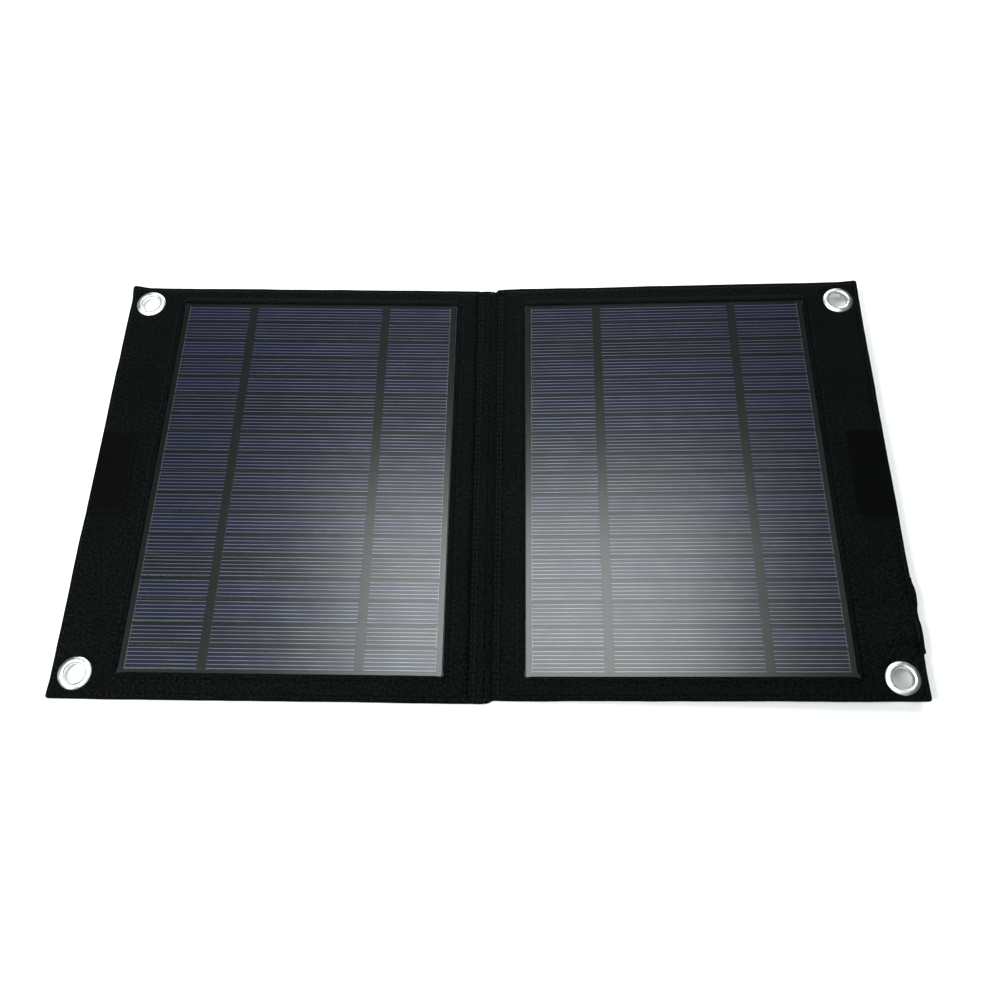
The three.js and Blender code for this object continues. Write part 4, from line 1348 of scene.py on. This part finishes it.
class PANEL_OT_sleeve(bpy.types.Operator):
    """Sews the regulator's sleeve under the right leaf, its flap and the flap's pull tab"""

    bl_idname = "panel.sleeve"
    bl_label = "Sleeve and Flap"

    def execute(self, context):
        self.sleeve()
        self.flap()
        self.tab()
        return {"FINISHED"}

    def sleeve(self):
        """A tray of cloth with a sewn lip on three sides, open at its mouth."""
        low, high = flat_box("regulator_sleeve")
        half = sizes().fabric / 2 / MM
        floor, rim, lip, corner = low.z + half, high.z - half - 0.02, 3.0, 2.6
        middle, side, end = (low.y + high.y) / 2, (high.y - low.y) / 2 - half, low.x + half
        # from the lip's outer edge: distance out from the wall, and height
        wall = [(lip, rim), (lip / 2, rim), (0.5, rim), (0.1, rim - 0.5)]
        wall += [(0.0, rim + (floor - rim) * t) for t in (0.25, 0.5, 0.75, 0.88)]
        wall += [(-0.25, floor + 0.45), (-0.75, floor + 0.1), (-1.6, floor)]
        count = len(wall)
        long, wide = 14, 16  # stations over the floor each way
        us, ys = range(count + long), range(2 * count + wide)
        mouth = high.x
        curve = 1.6  # how far the wall's foot curves in

        def point(a, b):
            inward_a = min(a, count - 1)
            inward_b = min(b, ys[-1] - b, count - 1)
            u = end - wall[inward_a][0]
            if a >= count:
                u = end + curve + (mouth - end - curve) * (a - count + 1) / long
            y = middle + math.copysign(side + wall[inward_b][0], b - ys[-1] / 2)
            if inward_b == count - 1:
                y = middle - side + curve + 2 * (side - curve) * (b - count + 1) / (wide + 1)
            z = wall[min(inward_a, inward_b)][1]
            across, along = end + corner - u, abs(y - middle) - (side - corner)
            if across > 0 and along > 0:
                pull = max(across, along) / math.hypot(across, along)
                u = end + corner - across * pull
                y = middle + math.copysign(side - corner + along * pull, y - middle)
            z -= ease(rim - z, 1.0, 5.0) * 0.1 * (1 + wave(u, y, 8, 61))
            return LEANING @ (Vector((u, y, z)) * MM)

        piece = cloth_sheet("sleeve_cloth", us, ys, lambda a, b: True, point, False)
        for loop in piece.data.uv_layers["cloth"].data:
            loop.uv = loop.uv * 1.3
        give_wall(piece)
        fit(piece, pocket_cloth(), "sleeve_cloth", "right_leaf", "regulator_sleeve")
        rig.sheet(piece, flat=(0.0455, 0.0612), held="stretched", rests_on=["right_back_cloth"])
        rows = []
        line = 1.6
        near, far, start = middle - side, middle + side, mouth - 0.5
        path = [(start, near - line), (end, near - line), (end - line, near)]
        path += [(end - line, far), (end, far + line), (start, far + line)]
        under = Matrix.Rotation(math.pi, 4, "X")
        for u, y, along_u, along_y in walk(path, sizes().stitch_pitch / MM * 0.8):
            turn = Matrix.Rotation(math.atan2(along_y, along_u), 4, "Z") @ under
            rows.append(LEANING @ Matrix.Translation(Vector((u, y, rim - half)) * MM) @ turn)
        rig.ride(sewn("sleeve_stitches", rows), "right_leaf")

    def flap(self):
        """A strip of cloth hung from the leaf's edge, over the mouth and back under the sleeve."""
        low, high = flat_box("sleeve_flap")
        half = sizes().fabric / 2 / MM
        outer, floor = high.x - half + 0.1, low.z + half
        # down the outside from the leaf's edge, round the foot and back under the sleeve
        line = [
            (outer - 2.3, high.z + 0.55), (outer - 1.5, high.z + 0.5), (outer - 0.7, high.z + 0.2),
            (outer - 0.2, high.z - 0.5), (outer, high.z - 1.6),
        ]
        line += [(outer, z) for z in (0.0, -2.0, -4.0, -6.0)]
        line += [(outer - 0.05, floor + 1.8), (outer - 0.35, floor + 0.75), (outer - 1.0, floor + 0.15)]
        line += [(outer - back, floor) for back in (2.2, 5.0, 8.0, 12.0, 16.0, 19.5)]
        line += [(low.x + 0.3, floor)]
        ys = stations((low.y, high.y, 1.6))

        def point(a, y):
            u, z = line[a]
            upper = ease(z, -6.0, 0.0)
            u += upper * profile(y - low.y, FLAP_PUSH) + 0.08 * wave(y, z, 7, 71)
            z -= 0.037 * (1 + wave(y, u, 9, 72)) * (1 - upper)
            return LEANING @ (Vector((u, y, max(z, floor))) * MM)

        piece = cloth_sheet("flap_cloth", range(len(line)), ys, lambda a, y: True, point, True)
        for loop in piece.data.uv_layers["cloth"].data:
            loop.uv.x *= 1.7
        give_wall(piece)
        dress(piece, pocket_cloth(), "sleeve_cloth")
        down = LEANING.to_3x3() @ Vector((0, 0, -1))
        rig.blend(piece, "right_leaf", "flap", FLAP_HINGE + down * -0.0006, FLAP_HINGE + down * 0.0016)
        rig.replaces(piece, "sleeve_flap")
        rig.sheet(piece, flat=(0.036, 0.040), held="folded", rests_on=["sleeve_cloth"])

    def tab(self):
        """A folded end of webbing, drawn to a blunt point."""
        low, high = flat_box("flap_pull_tab")
        piece = block("pull_tab_webbing", low, high, 0.25, 0.22, 3)
        only(piece)
        bpy.ops.object.mode_set(mode="EDIT")
        tip = low.x + 0.55 * (high.x - low.x)
        pick(piece, "VERT", lambda v: v.co.x > tip * MM)
        middle = Vector((high.x, (low.y + high.y) / 2, (low.z + high.z) / 2)) * MM
        bpy.ops.transform.resize(value=(1, 0.45, 0.8), center_override=middle)
        bpy.ops.object.mode_set(mode="OBJECT")
        piece.matrix_world = LEANING
        settle(piece)
        black = ("#030404", "#0b0e0d")
        webbing = finish_of(moulded, "woven_nylon_webbing", *black, 0.7, 0.4, 0.08, 1.53, 0.1)
        fit(piece, webbing, "tab_webbing", "flap", "flap_pull_tab")


# ---- Parts inside ----


class PANEL_OT_inside(bpy.types.Operator):
    """Finishes the parts between the covers and inside the regulator"""

    bl_idname = "panel.inside"
    bl_label = "Parts Inside"

    def execute(self, context):
        board = finish_of(moulded, "extruded_polypropylene_board", "#3c403f", "#4a4e4d", 0.6, 1.4, 0.03)
        jacket = finish_of(moulded, "pvc_lead_jacket", "#0b0b0b", "#141414", 0.55, 0.4, 0.01)
        resin = finish_of(moulded, "black_potting_resin", "#0d0d0d", "#171717", 0.3, 1.5, 0.02)
        mask = finish_of(moulded, "solder_masked_glass_epoxy", "#0c3a20", "#12502c", 0.35, 0.9, 0.01)
        core = finish_of(moulded, "pressed_ferrite_core", "#2b2b2d", "#38383a", 0.65, 0.3, 0.03)
        case = finish_of(moulded, "moulded_epoxy_chip", "#0e0e0e", "#191919", 0.5, 0.15, 0.01)
        for material, nodes in (
            (board, ("left_stiffener_board", "right_stiffener_board")),
            (jacket, ("left_lead", "right_lead", "spine_lead", "output_lead")),
            (resin, ("left_junction_block", "right_junction_block")),
            (mask, ("regulator_circuit_board",)),
            (core, ("inductor",)),
            (case, ("controller_chip",)),
        ):
            for node in nodes:
                slots = frame["nodes"][node].data.materials
                slots.clear()
                slots.append(material)
        return {"FINISHED"}


# ---- Stage ----


def matt_paint(tree):
    """Painted studio floor: pale and matt, with a trace of roller texture."""
    place = add(tree, "TexCoord").outputs["Object"]
    roller = add(tree, "TexNoise", {"Scale": 220.0, "Detail": 2.0}, {"Vector": place})
    return add(
        tree,
        "BsdfPrincipled",
        {"Base Color": rgba(colours().floor), "Roughness": 0.9, "Specular IOR Level": 0.1},
        {"Normal": bump(tree, roller, 0.02)},
    )


LAMP_TINT = (0.955, 1.0, 0.99)  # a trace cooler than white


class PANEL_OT_stage(bpy.types.Operator):
    """Sets the pale floor, the soft lights and the camera"""

    bl_idname = "panel.stage"
    bl_label = "Stage"

    def execute(self, context):
        scene = context.scene
        scene.view_settings.view_transform = "Standard"
        scene.view_settings.look = "None"
        world = bpy.data.worlds.new("studio")
        scene.world = world
        world.use_nodes = True
        back = world.node_tree.nodes["Background"]
        back.inputs["Color"].default_value = (1.0, 1.0, 1.0, 1.0)
        back.inputs["Strength"].default_value = 0.08
        deselect()
        bpy.ops.mesh.primitive_plane_add(size=8, location=(0, 0, -0.0001))
        floor = new_piece("floor")
        settle(floor)
        floor.data.materials.append(finish_of(matt_paint, "matt_painted_floor"))
        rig.stage(floor)
        self.lamp("key", (-1.1, -0.5, 1.57), (0, 0, 0), 0.5, 0.5, 37)
        self.lamp("front", (0.05, -0.7, 1.4), (0, 0, 0), 0.4, 0.3, 5)
        self.lamp("overhead", (0.006, 0.17, 0.95), (0, -0.05, 0), 0.5, 0.42, 6.0)
        self.lamp("far", (-0.1, 1.9, 0.8), (0, 0, 0), 1.6, 0.4, 22)
        self.camera(scene)
        return {"FINISHED"}

    def lamp(self, name, place, aim, width, height, power):
        """A soft rectangular lamp that looks at a point."""
        light = bpy.data.lights.new(name, "AREA")
        light.shape, light.size, light.size_y, light.energy = "RECTANGLE", width, height, power
        light.color = LAMP_TINT
        lamp = bpy.data.objects.new(name, light)
        lamp.location = place
        lamp.rotation_euler = (Vector(aim) - Vector(place)).to_track_quat("-Z", "Y").to_euler()
        bpy.context.scene.collection.objects.link(lamp)

    def camera(self, scene):
        """The camera, high in front and a little right of the middle."""
        data = bpy.data.cameras.new("camera")
        data.sensor_width, data.lens = 36, 32.22
        data.clip_start, data.clip_end = 0.02, 50
        camera = bpy.data.objects.new("camera", data)
        camera.location = (0.0093, -0.2138, 0.4484)
        aim = Vector((0.00684, -0.01343, 0)) - camera.location
        camera.rotation_euler = aim.to_track_quat("-Z", "Y").to_euler()
        scene.collection.objects.link(camera)
        scene.camera = camera


# ---- Panel ----


STEPS = (
    PANEL_OT_stage,
    PANEL_OT_front_covers,
    PANEL_OT_back_covers,
    PANEL_OT_seams,
    PANEL_OT_modules,
    PANEL_OT_eyelets,
    PANEL_OT_closure,
    PANEL_OT_regulator,
    PANEL_OT_sleeve,
    PANEL_OT_inside,
)


class PANEL_PT_solar(bpy.types.Panel):
    """Lists the sizes, the colours and the steps that build the panel"""

    bl_label = "Folding Solar Panel"
    bl_idname = "PANEL_PT_solar"
    bl_space_type = "VIEW_3D"
    bl_region_type = "UI"
    bl_category = "Solar Panel"

    def draw(self, context):
        for group in (context.scene.panel_sizes, context.scene.panel_colours):
            column = self.layout.column(align=True)
            for name in group.__annotations__:
                column.prop(group, name)
        column = self.layout.column(align=True)
        for step in STEPS:
            column.operator(step.bl_idname)


CLASSES = (PanelSizes, PanelColours, *STEPS, PANEL_PT_solar)


def register():
    """Registers the classes and gives the scene its sizes and colours."""
    for cls in CLASSES:
        bpy.utils.register_class(cls)
    bpy.types.Scene.panel_sizes = bpy.props.PointerProperty(type=PanelSizes)
    bpy.types.Scene.panel_colours = bpy.props.PointerProperty(type=PanelColours)


def unregister():
    """Takes everything out again."""
    del bpy.types.Scene.panel_colours
    del bpy.types.Scene.panel_sizes
    for cls in reversed(CLASSES):
        bpy.utils.unregister_class(cls)


def main():
    """Builds the stage and every piece in order, and writes the sizes before and after."""
    register()
    bpy.ops.panel.stage()
    bpy.ops.panel.front_covers()
    bpy.ops.panel.back_covers()
    bpy.ops.panel.seams()
    bpy.ops.panel.modules()
    bpy.ops.panel.eyelets()
    bpy.ops.panel.closure()
    bpy.ops.panel.regulator()
    bpy.ops.panel.sleeve()
    bpy.ops.panel.inside()
    boxes = {"cad": FRAME_BOX, "visual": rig.bounds()}
    with open("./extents.json", "w") as file:
        json.dump({name: [list(low), list(high)] for name, (low, high) in boxes.items()}, file)


if __name__ == "__main__":
    main()
